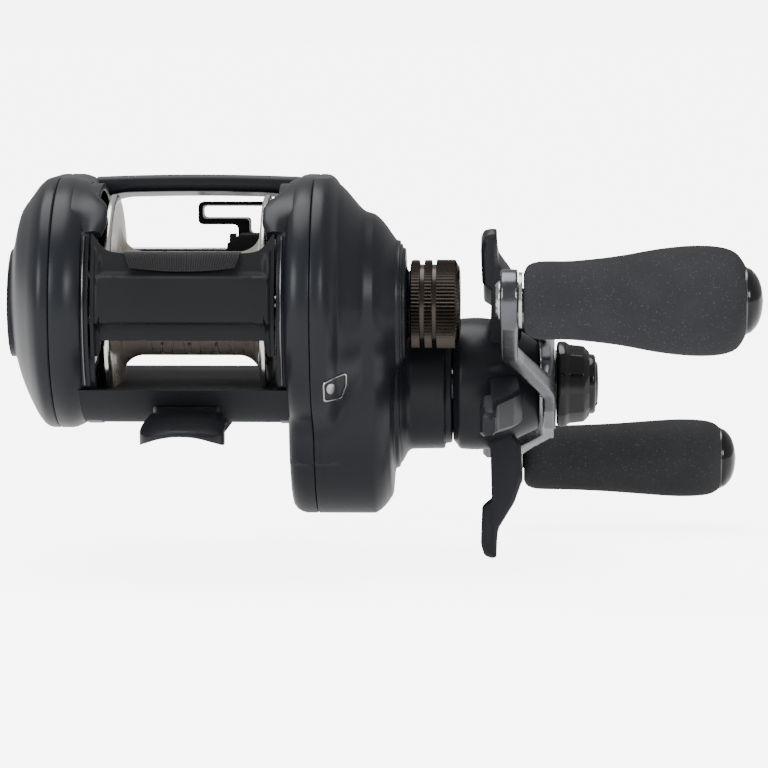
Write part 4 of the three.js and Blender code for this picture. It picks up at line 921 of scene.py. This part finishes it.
def add_spool():
    """Open spool with thin polished flanges and rows of holes round its barrel."""
    lip, barrel, steps = BAY, 8.1, 96
    pitch, rows, hole, hole_depth = 4.2, 3, 0.62, 0.6
    outside = [
        (lip, SPOOL_RADIUS - 0.8), (lip, SPOOL_RADIUS), (lip - 0.9, SPOOL_RADIUS),
        (lip - 1.1, SPOOL_RADIUS - 0.8), (lip - 1.4, barrel + 4.0), (lip - 1.8, barrel + 2.0),
        (lip - 2.6, barrel + 0.9), (lip - 3.6, barrel + 0.25), (lip - 4.6, barrel),
    ]
    outside = softened(outside, 0.6, closed=False, steps=3)
    marks = []
    for row in range(rows):
        x = (row - (rows - 1) / 2) * pitch
        marks += [x - hole / 2, x + hole / 2]
    middle = [(x, barrel) for x in sorted(marks, reverse=True) if abs(x) < lip - 4.6]
    mirrored = [(-x, r) for x, r in reversed(outside)]
    inner = barrel - 0.8
    inside = [
        (-lip + 0.8, inner + 3), (-lip + 3.2, inner), (-0.2, inner), (-0.2, 2.6), (-lip + 3.4, 2.6),
        (-lip + 3.4, 1.35), (lip - 3.4, 1.35), (lip - 3.4, 2.6), (1.2, 2.6), (1.2, inner),
        (lip - 3.2, inner), (lip - 0.8, inner + 3), (lip, SPOOL_RADIUS - 0.8),
    ]
    bm = bmesh.new()
    turn(bm, outside + middle + mirrored + inside, SPOOL, steps)
    holes = []
    for face in bm.faces:
        spot = face.calc_center_median()
        r = math.hypot(spot.y - SPOOL[0], spot.z - SPOOL[1])
        row = round(spot.x / pitch)
        turn_step = int(math.atan2(spot.z - SPOOL[1], spot.y - SPOOL[0]) / TURN * steps + steps) % 6
        if abs(r - barrel) < 0.06 and abs(spot.x - row * pitch) < 0.1 and abs(row) <= 1 and turn_step < 2:
            if max(abs(v.co.x - spot.x) for v in face.verts) < hole:
                holes.append(face)
    bmesh.ops.inset_region(bm, faces=holes, thickness=0.03, use_even_offset=True)
    walls = bmesh.ops.extrude_face_region(bm, geom=holes)["geom"]
    for g in walls:
        if isinstance(g, bmesh.types.BMVert):
            out = Vector((0, g.co.y - SPOOL[0], g.co.z - SPOOL[1]))
            g.co -= out.normalized() * hole_depth
    # The hole walls and floors get the near-black paint: painted shade for the darkness inside the holes.
    for g in walls:
        if isinstance(g, bmesh.types.BMFace):
            g.material_index = 1
    bmesh.ops.delete(bm, geom=[f for f in holes if f.is_valid], context="FACES_ONLY")
    add_piece("line_spool", bm, "spool", "spool_alloy", "spool",
              finish=(FINISHES["spool_alloy"], HOLE_SHADE_PAINT))


# ---------------------------------------------------------------- clutch bar


def add_clutch_bar():
    """Thumb bar behind the spool: a raised panel under a scooped top, with arms up both sides."""
    edge, inner = 13.95, SPOOL[0] - SPOOL_RADIUS - 0.4
    top = [(0, 27.45), (8.9, 27.5), (10.2, 27.6), (11.2, 27.8), (12.0, 28.25), (12.6, 28.85),
           (13.2, 29.7), (13.7, 30.35), (13.95, 30.4)]
    bm = bmesh.new()
    rings = []
    columns = sorted({round(s * x, 3) for s in (-1, 1) for x in steps_between(0, edge, 56)})
    for x in columns:
        across = abs(x)
        high = smooth_through(top, across)
        low = 14.2 if across < 12.5 else 14.2 - 2.4 * ease(12.5, 12.8, across)
        ring = []
        for share in steps_between(0, 1, 44):
            z = low + (high - low) * share
            panel = 24.0 - 0.9 * (1 - math.sqrt(max(0.0, 1 - (max(0.0, across - 12.0) / 1.2) ** 2)))
            side = ease(13.5, 13.1, across)
            raised = side * ease(panel + 0.45, panel - 0.1, z) * ease(16.6, 17.1, z)
            hollow = ease(panel - 0.1, panel + 0.9, z) * ease(28.4, 25.6, z)
            scoop = 0.75 * hollow * ease(13.3, 12.0, across)
            skirt = 1.7 * ease(17.1, 16.6, z) * side
            arm = 0.5 * ease(13.1, 13.5, across)
            back = 0.95 - 0.7 * raised + scoop + skirt + arm
            ring.append((x, min(rear_of_body(z) + back, inner - 0.6), z))
        for z in steps_between(high - 0.02, low, 6):
            ring.append((x, inner, z))
        rings.append(ring)
    loft(bm, rings)
    add_piece("thumb_bar", bm, "thumb_bar", "moulded_black", "clutch_bar", sharp=40)


def add_thumb_pad():
    """Grippy pad on the bar, with fine upright ribs."""
    ribs, half = 46, 8.9
    inner = SPOOL[0] - SPOOL_RADIUS - 0.5
    bm = bmesh.new()
    rings = []
    columns = ribs * 6
    for i in range(columns + 1):
        u = -1 + 2 * i / columns
        wave = 0.5 - 0.5 * math.cos(TURN * ribs * i / columns)
        ring = []
        low_dip = 0.55 * (1 - u * u)
        for share, out in (
            (0, 0.25), (0.03, 0.08), (0.08, 0), (0.3, 0), (0.6, 0), (0.85, 0.02), (0.94, 0.15), (1, 0.5),
        ):
            z = 25.35 - low_dip + (2.35 + low_dip) * share
            width = half - 0.9 + 0.9 * share
            y = rear_of_body(z) + 0.55 + out + 0.2 * (1 - wave) * ease(0, 0.05, share)
            ring.append((u * width, min(y, inner - 0.5), z))
        ring.append((u * half, inner, 27.7))
        ring.append((u * (half - 0.9), inner, 25.35 - low_dip * 0.2))
        rings.append(ring)
    loft(bm, rings)
    add_piece("thumb_pad_ribbed", bm, "thumb_bar", "moulded_black", "thumb_pad",
              finish=(PAD_RUBBER,), sharp=60)


# ---------------------------------------------------------------- line guide


def add_line_guide():
    """Carriage on the guide rod and worm tube, with the T-shaped wing that the line runs through."""
    y, z = WING_PIVOT
    middle = (span("line_guide_wing")[0].x + span("line_guide_wing")[1].x) / 2
    ledge, top, wide, stem = z + 2.6, z + 6.3, 9.4, 2.9
    outer = softened(
        [(-stem, z - 1), (stem, z - 1), (stem, ledge), (wide, ledge), (wide, top), (-wide, top),
         (-wide, ledge), (-stem, ledge)], 0.9, steps=5,
    )

    def slot(grow):
        shelf = top - 2.55 - grow
        far = wide - 0.95 + grow
        return softened(
            [(-0.8 - grow, z + 1.2 - grow), (0.8 + grow, z + 1.2 - grow), (0.8 + grow, shelf),
             (far, shelf), (far, top - 0.7 + grow), (-far, top - 0.7 + grow), (-far, shelf),
             (-0.8 - grow, shelf)], 0.7, steps=5,
        )

    wing = bmesh.new()
    sheet_with_holes(wing, [
        [(x + middle, y - 0.8, zz) for x, zz in outer],
        [(x + middle, y - 0.8, zz) for x, zz in slot(0.28)],
    ])
    thicken(wing, (0, 1.6, 0))
    break_edges(wing, 0.16, 3, 60)
    add_piece("guide_wing", wing, "wing", "moulded_black", "line_guide_wing")
    insert = bmesh.new()
    sheet_with_holes(insert, [
        [(x + middle, y - 0.92, zz) for x, zz in slot(0.27)],
        [(x + middle, y - 0.92, zz) for x, zz in slot(0)],
    ])
    thicken(insert, (0, 1.84, 0))
    break_edges(insert, 0.07, 2, 60)
    add_piece("guide_insert", insert, "wing", "steel", "line_guide_insert")

    low, high = span("line_guide_carriage")
    centre = (low.x + high.x) / 2
    half = (high.x - low.x) / 2
    rear = WORM[0] - TUBE_RADIUS - 1.2
    side = softened(
        [(rear + 2, low.z), (ROD[0] + 1.3, low.z), (ROD[0] + 2.3, low.z + 1.5),
         (ROD[0] + 2.3, high.z - 0.6), (ROD[0] + 1.1, high.z), (ROD[0] - 1.6, high.z),
         (rear, ROD[1] - 1.5), (rear, low.z + 2)], 0.8, steps=4,
    )
    block = bmesh.new()
    sheet_with_holes(block, [
        sideways(side, centre - half),
        sideways(circle(WORM, TUBE_RADIUS + 0.1, 48), centre - half),
        sideways(circle(ROD, 1.08, 32), centre - half),
    ])
    thicken(block, (2 * half, 0, 0))
    for sign in (-1, 1):
        bmesh.ops.bisect_plane(
            block, geom=all_of(block), plane_co=(centre + sign * (half - 2.2), 0, high.z),
            plane_no=(sign * 1.6, 0, 2.2), clear_outer=True,
        )
        bmesh.ops.holes_fill(block, edges=[e for e in block.edges if e.is_boundary], sides=0)
    break_edges(block, 0.18, 2, 50)
    add_piece("guide_carriage", block, "carriage", "moulded_black", "line_guide_carriage")
    ears = bmesh.new()
    for sign in (-1, 1):
        x = centre + sign * (half - 0.55)
        points = softened(
            [(ROD[0] + 1.4, z - 1.2), (y + 1, z - 1.2), (y + 1, z + 1.1), (ROD[0] + 1.4, z + 1.1)], 0.6
        )
        loft(ears, [sideways(points, x - 0.5), sideways(points, x + 0.5)])
    break_edges(ears, 0.1, 2, 60)
    add_piece("guide_carriage_ears", ears, "carriage", "moulded_black")


def add_rod_and_tube():
    """Rail and worm tube of the line guide; the tube is open along its underside."""
    low, high = span("guide_rod")
    rod = turned([(low.x, 0), (low.x, 1), (high.x, 1), (high.x, 0)], ROD, 48, 0.15)
    add_piece("guide_rail", rod, "root", "steel", "guide_rod")
    low, high = span("worm_guard")
    tube = turned(
        [(low.x, TUBE_BORE), (low.x, TUBE_RADIUS), (high.x, TUBE_RADIUS), (high.x, TUBE_BORE)],
        WORM, 64, 0.2, closed=True,
    )
    doomed = []
    for face in tube.faces:
        spot = face.calc_center_median()
        if abs(spot.x) < BAY + 1.2 and spot.z < WORM[1] and abs(spot.y - WORM[0]) < 1.5:
            doomed.append(face)
    bmesh.ops.delete(tube, geom=doomed, context="FACES")
    add_piece("worm_tube", tube, "root", "dark_chrome", "worm_guard")


# ---------------------------------------------------------------- gear side


def lip_over_drum(angle, reach, x):
    """How proud the upper skin stands where its lower edge crosses the drum behind the handle."""
    z = CENTRE[1] + reach * math.sin(angle)
    if math.cos(angle) > 0:
        return 0.0
    return 0.5 * ease(-6.0, -5.4, z) * ease(2, -4, z) * ease(24.5, 21.5, x)


def add_gear_cover():
    """Gear side cover: a dome over the pinion and a deep round drum over the drive gear, blended."""
    skirt = [(0, 0.16), (0.08, 0.05), (0.2, 0), (1.2, 0.05), (2.0, 0.35), (2.8, 1.2), (3.5, 2.7),
             (4.0, 5.0), (4.4, 9.0), (4.6, 14.0)]
    dome = [(0, 19.5), (2.3, 19.4), (3.4, 18.9), (4.6, 17.9), (6.5, 15.7), (7.6, 14.6), (8.6, 14.2),
            (9.4, 13.9), (10.65, 12.7), (11.95, 10.9), (12.65, 9.95), (13.5, 9.0)]
    drum = [(0, 20.6), (8.7, 20.6), (9.5, 20.3), (10.6, 19.3), (11.4, 18.2), (11.8, 17.4), (11.95, 15.5),
            (12.1, 13.8), (12.9, 13.1), (13.3, 11.6), (13.5, 11.0)]
    start = RIGHT_PARTING + 0.1
    bm = bmesh.new()
    rings = []
    for into in [0, 0.08, 0.2] + steps_between(0.8, 13.5, 60):
        inset = smooth_through(skirt, into) if into < 4.6 else 60
        edge = inset if into < 0.2 else 0
        reach = gear_side_reach(
            inset, smooth_through(drum, into) - edge, smooth_through(dome, into), 3.0,
        )
        reach = [r + lip_over_drum(a, r, start + into) for a, r in zip(ANGLES, reach)]
        rings.append(around(CENTRE, reach, start + into))
    inner = around(CENTRE, gear_side_reach(2.2, DRUM_RADIUS - 1.9), start + 0.05)
    deep = around(CENTRE, gear_side_reach(60, DRUM_RADIUS - 1.9, 15.0), start + 7)
    loft(bm, [deep, inner] + rings, True, True)
    surface = BVHTree.FromBMesh(bm)
    add_piece("gear_shell", bm, "root", "satin_black", "gear_cover", sharp=45)

    boss = turned(
        [(DRUM_END + 3.0, 13.2), (DRUM_END + 3.9, 12.3), (DRUM_END + 4.6, 10.9),
         (DRUM_END + 5.2, BOSS_RADIUS), (BOSS_FACE, BOSS_RADIUS - 0.1), (BOSS_FACE, 9.5),
         (STAR_START - 0.15, 9.4), (STAR_START - 0.15, 8.6), (BOSS_FACE - 1.2, 8.4),
         (BOSS_FACE - 1.2, 4.0), (BOSS_FACE - 4, 4.0)], DRIVE, 128, 0.5,
    )
    add_piece("gear_shell_boss", boss, "root", "satin_black")
    neck = turned(
        [(DRUM_END + 2.6, 10.2), (DRUM_END + 3.5, 9.9), (DRUM_END + 3.75, 9.9), (DRUM_END + 3.8, 9.35),
         (DRUM_END + 4.1, 9.35), (DRUM_END + 4.15, 8.8), (DRUM_END + 4.6, 8.7), (DRUM_END + 4.65, 6.0),
         (DRUM_END + 5.0, 5.1), (CAP_START + 4.4, 5.1), (CAP_START + 4.4, 4.0)], SPOOL, 128, 0.18,
    )
    add_piece("gear_shell_neck", neck, "root", "satin_black")
    return surface


def add_sight_window(surface):
    """Small glazed window low on the back of the gear cover, in a thin bright rim."""
    x, z = 23.0, 6.8
    shape = softened(
        [(-1.7, -2.2), (0.9, -2.0), (1.75, 0.2), (1.8, 2.3), (-0.2, 1.6), (-1.7, 0.9)], 0.5, steps=5
    )

    def place(u, v, out):
        found = surface.ray_cast(Vector((x + u, -60, z + v)), Vector((0, 1, 0)))[0]
        return x + u, found.y - out, z + v

    rim = bmesh.new()
    rings = []
    for scale, out in ((1.02, -0.6), (1.02, 0.2), (0.98, 0.3), (0.90, 0.26), (0.87, -0.3)):
        rings.append([place(u * scale, v * scale, out) for u, v in shape])
    loft(rim, rings)
    add_piece("gear_window_rim", rim, "root", "steel")
    glass = bmesh.new()
    rings = []
    for scale, out in ((0.87, -0.4), (0.87, -0.2), (0.6, -0.12), (0.2, -0.1)):
        rings.append([place(u * scale, v * scale, out) for u, v in shape])
    loft(glass, rings)
    add_piece("gear_window_lens", glass, "root", "gloss_black")
    stud = bmesh.new()
    rings = []
    for scale, out in ((0.85, -0.1), (0.85, 0.1), (0.6, 0.2), (0.15, 0.22)):
        oval = ((0.75 * u - 0.55, v - 0.1) for u, v in circle((0, 0), scale, 24))
        rings.append([place(u, v, out) for u, v in oval])
    loft(stud, rings)
    add_piece("gear_window_stud", stud, "root", "steel")


def add_tension_cap():
    """Spool tension cap with three bands of straight knurling."""
    radius, flutes, drawn_length = 6.9, 72, 7.75
    scale = (CAP_END - CAP_START) / drawn_length
    stations = [
        (0, 0.75, 0), (0.12, 0.4, 0), (0.2, 0.05, 1), (1.45, 0.05, 1), (1.55, 0.75, 0), (2.15, 0.75, 0),
        (2.25, 0.05, 1), (3.35, 0.05, 1), (3.45, 0.75, 0), (4.0, 0.75, 0), (4.1, 0.0, 1), (6.95, 0.0, 1),
        (7.15, 0.3, 0.6), (7.35, 0.7, 0), (7.65, 1.1, 0), (7.75, 1.8, 0), (7.6, 2.6, 0), (7.6, 5.8, 0),
    ]
    bm = bmesh.new()
    rings = [sideways(circle(SPOOL, 5.2, flutes * 4), CAP_START + 0.3)]
    for into, drop, knurl in stations:
        ring = []
        for i in range(flutes * 4):
            a = TURN * i / (flutes * 4)
            tooth = (0.0, 0.12, 0.3, 0.12)[i % 4]
            r = radius - drop - tooth * knurl
            x = CAP_START + into * scale
            ring.append((x, SPOOL[0] + r * math.cos(a), SPOOL[1] + r * math.sin(a)))
        rings.append(ring)
    loft(bm, rings)
    add_piece("tension_knob", bm, "cap", "bronze_black", "tension_cap", sharp=28)


# ---------------------------------------------------------------- star drag


def add_star():
    """Drag star: a round hub and five arms that bend back from the crank to broad tips."""
    hub_end, reach, radius = STAR_HUB_END, 27.7, 10.5
    bend, bevel, neck_end = reach - 8.4, 0.55, 54.3
    hub = turned(
        [(STAR_START, 5.0), (STAR_START, radius - 1.5), (STAR_START + 0.5, radius - 1.0),
         (STAR_START + 1.0, radius - 0.15), (STAR_START + 3.5, radius), (hub_end - 2.5, radius - 0.1),
         (hub_end - 0.3, radius - 0.7), (hub_end + 0.9, radius - 1.3), (neck_end, 7.0),
         (neck_end, 2.6)], DRIVE, 128, 0.8,
    )
    add_piece("star_hub", hub, "star", "satin_black", "star_drag")
    profile = [
        (7.5, hub_end - 2.6), (9.4, hub_end - 1.2), (12, hub_end - 0.3), (14.8, hub_end - 0.5),
        (bend - 1.0, hub_end - 1.8), (bend + 0.2, hub_end - 3.3), (reach - 2.2, hub_end - 3.5),
        (reach - 0.5, hub_end - 3.0), (reach, hub_end - 1.9), (reach - 0.1, hub_end - 1.0),
        (reach - 3.3, hub_end - 0.9), (bend + 3.6, hub_end - 0.7), (bend - 0.5, hub_end + 1.8),
        (15.1, hub_end + 3.1), (9.8, hub_end + 2.8), (7.5, hub_end + 1.2),
    ]
    widths = [
        (6, 3.6), (9, 3.3), (13, 2.9), (bend, 2.7), (reach - 2, 2.3), (reach - 0.6, 1.8), (reach, 1.4),
    ]
    outline = softened(profile, 0.5, steps=3)
    arms, first = 5, math.radians(116.7)
    for arm in range(arms):
        bm = bmesh.new()
        rings = []
        for side, chamfer in ((-1, bevel), (-1, 0.0), (1, 0.0), (1, bevel)):
            ring = []
            for i, (r, x) in enumerate(outline):
                ahead, behind = outline[(i + 1) % len(outline)], outline[i - 1]
                along = Vector((ahead[0] - behind[0], ahead[1] - behind[1])).normalized()
                normal = Vector((along.y, -along.x))
                if chamfer:
                    r, x = r - normal.x * chamfer, x - normal.y * chamfer
                width = smooth_through(widths, max(6.0, min(reach, r)))
                lean = side * (width if chamfer else width - bevel)
                ring.append((x, r, lean))
            rings.append([(x, DRIVE[0] + r, DRIVE[1] + t) for x, r, t in ring])
        loft(bm, rings)
        break_edges(bm, 0.12, 2, 30)
        turn_about(bm, DRIVE, first + arm * TURN / arms)
        add_piece(f"star_arm_{arm + 1}", bm, "star", "satin_black")


# ---------------------------------------------------------------- crank and knobs


def add_crank():
    """Bent double crank with a window in each half."""
    reach, w, end, thickness = CRANK_REACH, 4.5, 4.65, 2.6
    bend_start, bend_end, slimming, thin_middle = 30.0, 10.0, 0.27, 1.9
    rise = CRANK_FRONT - CRANK_BACK - thin_middle
    lower = [(0, -w - 2.9), (8, -w - 2.3), (12, -w - 1.1), (20, -w - 0.45), (28, -w)]
    half_turn = steps_between(-math.pi / 2, math.pi / 2, 18)
    tip = [(reach + end * math.cos(a), end * math.sin(a)) for a in half_turn]
    edge = lower + tip + [(x, -y) for x, y in reversed(lower[1:])]
    whole = edge + [(0, w + 2.9)] + [(-x, -y) for x, y in edge[1:]]
    window = softened(
        [(14, -2.6), (31, -2.1), (33.5, 0), (31, 2.1), (14, 2.6), (12.8, 0)], 0.9, steps=4
    )
    windows = [[(side * u, v) for u, v in window] for side in (-1, 1)]
    hub = circle((0, 0), 2.2, 32)
    bm = bmesh.new()
    sheet_with_holes(bm, [sideways(p, 0) for p in [whole, *windows, hub]])
    for u in (-29, -26, -20, -14, -11, 11, 14, 20, 26, 29):
        bmesh.ops.bisect_plane(bm, geom=all_of(bm), plane_co=(0, u, 0), plane_no=(0, 1, 0))
    thicken(bm, (thickness, 0, 0))
    for v in bm.verts:
        out = abs(v.co.y)
        curved = ease(bend_start, bend_end, out)
        straight = max(0.0, min(1.0, (29 - out) / 18))
        lift = rise * curved * 0.35 + rise * 0.65 * straight
        v.co.x = CRANK_BACK + lift + v.co.x * (1 - slimming * curved)
        v.co.y += DRIVE[0]
        v.co.z += DRIVE[1]
    turn_about(bm, DRIVE, CRANK_TURN)
    crank = add_piece("crank_arm", bm, "handle", "dark_chrome", "crank")
    skin = crank.modifiers.new("even_skin", "REMESH")
    skin.mode = "VOXEL"
    skin.voxel_size = 0.24 * MM
    skin.use_smooth_shade = True
    ease_edges = crank.modifiers.new("rounded_edges", "SMOOTH")
    ease_edges.factor = 0.5
    ease_edges.iterations = 8


def add_nut():
    """Faceted handle nut with a round end disc, on its thin retainer."""
    start = CRANK_FRONT + 0.3
    end = start + 5.2
    sides = 12
    bm = bmesh.new()
    rings = []
    for x, r in (
        (start, 6.4), (start + 0.25, 6.95), (start + 1.4, 6.95), (start + 2.0, 6.45), (end - 0.9, 6.2),
        (end, 5.2),
    ):
        rings.append([(x, y, z) for y, z in circle(DRIVE, r, sides, 0.2)])
    loft(bm, rings)
    break_edges(bm, 0.22, 2, 12)
    add_piece("crank_nut", bm, "handle", "gloss_black", "handle_nut", sharp=20)
    disc = turned(
        [(end - 0.3, 0), (end - 0.3, 4.8), (end + 0.7, 4.7), (end + 1.0, 4.3), (end + 0.9, 3.8),
         (end + 1.35, 3.2), (end + 1.5, 0)], DRIVE, 96, 0.2,
    )
    add_piece("crank_nut_disc", disc, "handle", "gloss_black")
    low, high = span("nut_retainer")
    plate = bmesh.new()
    outline = softened(
        [(-13, -4), (6, -4), (7.4, -2), (7.4, 2), (6, 4), (-13, 4), (-14, 2), (-14, -2)], 0.8
    )
    sheet_with_holes(plate, [sideways(p, low.x) for p in (outline, circle((0, 0), 2.2, 32))])
    thicken(plate, (high.x - low.x, 0, 0))
    bmesh.ops.translate(plate, vec=(0, *DRIVE), verts=plate.verts)
    turn_about(plate, DRIVE, CRANK_TURN)
    break_edges(plate, 0.06, 2, 60)
    add_piece("nut_lock_plate", plate, "handle", "steel", "nut_retainer",
              finish=(FINISHES["gloss_black"],))


KNOB_STATIONS = [
    (0, 3.9, 3.7), (0.012, 4.9, 4.5), (0.03, 5.45, 4.9), (0.06, 5.78, 5.15), (0.10, 5.88, 5.25),
    (0.22, 5.92, 5.3), (0.42, 6.9, 5.5), (0.6, 8.3, 5.8), (0.72, 8.85, 6.05), (0.8, 8.95, 6.15),
    (0.88, 8.75, 6.1), (0.94, 8.1, 5.9), (0.975, 7.0, 5.55), (1, 5.3, 5.0),
]


def add_knob(name, body, wide_angle):
    """Paddle knob of foam rubber with a domed end cap and a rivet through it."""
    axis = axis_of(f"knob_cap_{name}")
    length = KNOB_END - KNOB_START
    bm = bmesh.new()
    rings = []
    squareness = 2 / 2.25
    places = [0, 0.003, 0.012, 0.025, 0.045, 0.07]
    places += steps_between(0.1, 0.94, 30) + [0.96, 0.975, 0.988, 1]
    for share in places:
        wide, thick = smooth_through(KNOB_STATIONS, share)
        ring = []
        for c, s in circle((0, 0), 1, 72):
            u = wide * math.copysign(abs(c) ** squareness, c)
            v = thick * math.copysign(abs(s) ** squareness, s)
            ring.append((KNOB_START + share * length, axis[0] + u, axis[1] + v))
        rings.append(ring)
    loft(bm, rings)
    turn_about(bm, axis, wide_angle)
    add_piece(f"knob_grip_{name}", bm, body, "grip_rubber", f"knob_{name}", sharp=60)
    tip = turned(
        [(KNOB_END - 0.6, 0), (KNOB_END - 0.6, 4.9), (KNOB_END + 0.25, 5.0), (KNOB_END + 0.9, 4.75),
         (KNOB_END + 1.8, 3.8), (KNOB_END + 2.45, 2.3), (KNOB_END + 2.75, 0)], axis, 96, 1.2,
    )
    add_piece(f"knob_tip_{name}", tip, body, "gloss_black", f"knob_cap_{name}", sharp=60)
    band = turned(
        [(KNOB_END - 0.1, 4.9), (KNOB_END - 0.1, 5.12), (KNOB_END + 0.22, 5.12), (KNOB_END + 0.22, 4.9)],
        axis, 96, 0.05, closed=True,
    )
    add_piece(f"knob_band_{name}", band, body, "steel", finish=(FINISHES["dark_chrome"],))
    collar = CRANK_BACK + 2.7
    post = turned(
        [(CRANK_BACK - 0.75, 0), (CRANK_BACK - 0.75, 2.3), (CRANK_BACK - 0.2, 2.9),
         (CRANK_BACK + 0.02, 2.9), (CRANK_BACK + 0.02, 1.8), (collar, 1.8), (collar, 4.2),
         (collar + 0.6, 4.2), (collar + 0.6, 1.8), (KNOB_END - 6.3, 1.8), (KNOB_END - 6.3, 3),
         (KNOB_END - 5.2, 2.6), (KNOB_END - 5.2, 0)], axis, 64, 0.15,
    )
    add_piece(f"knob_rivet_{name}", post, "handle", "steel", f"knob_post_{name}")


# ---------------------------------------------------------------- screws and the rest


def add_screws():
    """Small screws whose crossed slots are thin near-black crosses of painted shade, set flush into their
    heads.
    """
    for node, facing in (
        ("palm_cover_screw", -1), ("gear_cover_screw_upper", 1), ("gear_cover_screw_lower", 1),
    ):
        axis = axis_of(node)
        low, high = span(node)
        seat = high.x - 1 if facing > 0 else low.x + 1
        tip = low.x if facing > 0 else high.x
        face = seat + facing
        bm = turned(
            [(tip, 0), (tip, 0.8), (seat, 0.8), (seat, 1.6), (face - facing * 0.2, 1.6), (face, 1.3),
             (face, 0)], axis, 48, 0.12,
        )
        add_piece(f"{node}_turned", bm, "root", "dark_chrome", node)
        # The slot is not cut: a near-black cross sits in the head's face as painted shade for the slot's
        # hollow.
        slot = bmesh.new()
        for a in (0.4, 0.4 + math.pi / 2):
            u, v = (math.cos(a), math.sin(a)), (-math.sin(a), math.cos(a))
            ring = []
            for p, q in ((-1, -0.17), (1, -0.17), (1, 0.17), (-1, 0.17)):
                ring.append((axis[0] + u[0] * p + v[0] * q, axis[1] + u[1] * p + v[1] * q))
            loft(slot, [sideways(ring, face - 0.3 * facing), sideways(ring, face + 0.01 * facing)])
        add_piece(f"{node}_slot", slot, "root", "dark_chrome", finish=(HOLE_SHADE_PAINT,))


def dress_frame_nodes():
    """Gives every node of the frame the finish of its material slot."""
    for part in frame["record"]["subparts"]:
        node = frame["nodes"][part["node"]]
        node.data.materials.clear()
        node.data.materials.append(FINISHES[part["material_slot"]])


# ---------------------------------------------------------------- studio


def two_strengths(tree, strength, seen, lighting):
    """Gives a background one brightness where the camera sees it and another as a light."""
    rays = tree.nodes.new("ShaderNodeLightPath")
    mix = tree.nodes.new("ShaderNodeMath")
    mix.operation = "MULTIPLY_ADD"
    tree.links.new(rays.outputs["Is Camera Ray"], mix.inputs[0])
    mix.inputs[1].default_value = seen - lighting
    mix.inputs[2].default_value = lighting
    tree.links.new(mix.outputs[0], strength)


def add_studio():
    """White floor and surroundings, two soft lamps and a broad light from above."""
    scene = bpy.context.scene
    low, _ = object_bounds()
    half_width, gap = 60, 0.0002
    bm = bmesh.new()
    bmesh.ops.create_grid(bm, x_segments=1, y_segments=1, size=half_width)
    bmesh.ops.translate(bm, vec=(0, 0, low.z - gap), verts=bm.verts)
    mesh = bpy.data.meshes.new("floor")
    bm.to_mesh(mesh)
    bm.free()
    floor = bpy.data.objects.new("floor", mesh)
    scene.collection.objects.link(floor)
    made = Finish("pale_floor", Roughness=0.9, Emission_Color=colour(1, 1, 1))
    made.set(Base_Color=made.mix(made.noise(400), colour(0.86, 0.86, 0.86), colour(0.90, 0.90, 0.90)))
    two_strengths(made.tree, made.shader.inputs["Emission Strength"], seen=5.5, lighting=0.45)
    mesh.materials.append(made.material)

    world = bpy.data.worlds.new("studio")
    scene.world = world
    world.use_nodes = True
    tree = world.node_tree
    back = tree.nodes["Background"]
    back.inputs["Color"].default_value = colour(1, 1, 1)
    two_strengths(tree, back.inputs["Strength"], seen=6.5, lighting=0.5)

    middle = Vector((0.02, 0, 0.01))
    for name, place, size, watts in (
        ("left", (-0.45, -0.50, 0.30), 0.30, 4.0),
        ("right", (0.45, -0.60, 0.30), 0.22, 2.6),
    ):
        lamp = bpy.data.lights.new(name, "AREA")
        lamp.energy = watts
        lamp.size = size
        lit = bpy.data.objects.new(name, lamp)
        scene.collection.objects.link(lit)
        lit.location = place
        lit.rotation_euler = (middle - Vector(place)).to_track_quat("-Z", "Y").to_euler()

    sun = bpy.data.lights.new("sun", "SUN")
    sun.energy = 2.8
    sun.angle = math.radians(50)
    above = bpy.data.objects.new("sun", sun)
    scene.collection.objects.link(above)
    above.rotation_euler = (math.radians(-12), math.radians(-10), 0)


def add_camera():
    """Long lens behind the reel, a little above it and to the handle side."""
    azimuth, elevation, distance = math.radians(1.9), math.radians(4.5), 0.7
    aim = Vector((0.0296, 0.0070, 0.0053))
    back = Vector((
        math.sin(azimuth) * math.cos(elevation), -math.cos(azimuth) * math.cos(elevation),
        math.sin(elevation),
    ))
    lens = bpy.data.cameras.new("camera")
    lens.sensor_width = 36
    lens.lens = 206.7
    lens.clip_start = 0.01
    lens.clip_end = 50
    camera = bpy.data.objects.new("camera", lens)
    bpy.context.scene.collection.objects.link(camera)
    camera.location = aim + back * distance
    camera.rotation_euler = (-back).to_track_quat("-Z", "Y").to_euler()
    bpy.context.scene.camera = camera


# ---------------------------------------------------------------- making


add_camera()
dress_frame_nodes()
add_side_plates()
add_floor()
add_foot()
add_shoulders()
add_collars()
add_bar_guides()
add_hood()
add_palm_cover()
add_brake_dial()
add_spool()
add_clutch_bar()
add_thumb_pad()
add_line_guide()
add_rod_and_tube()
add_sight_window(add_gear_cover())
add_tension_cap()
add_star()
add_crank()
add_nut()
add_knob("upper", "upper_knob", math.radians(48))
add_knob("lower", "lower_knob", math.radians(-20))
add_screws()
add_studio()
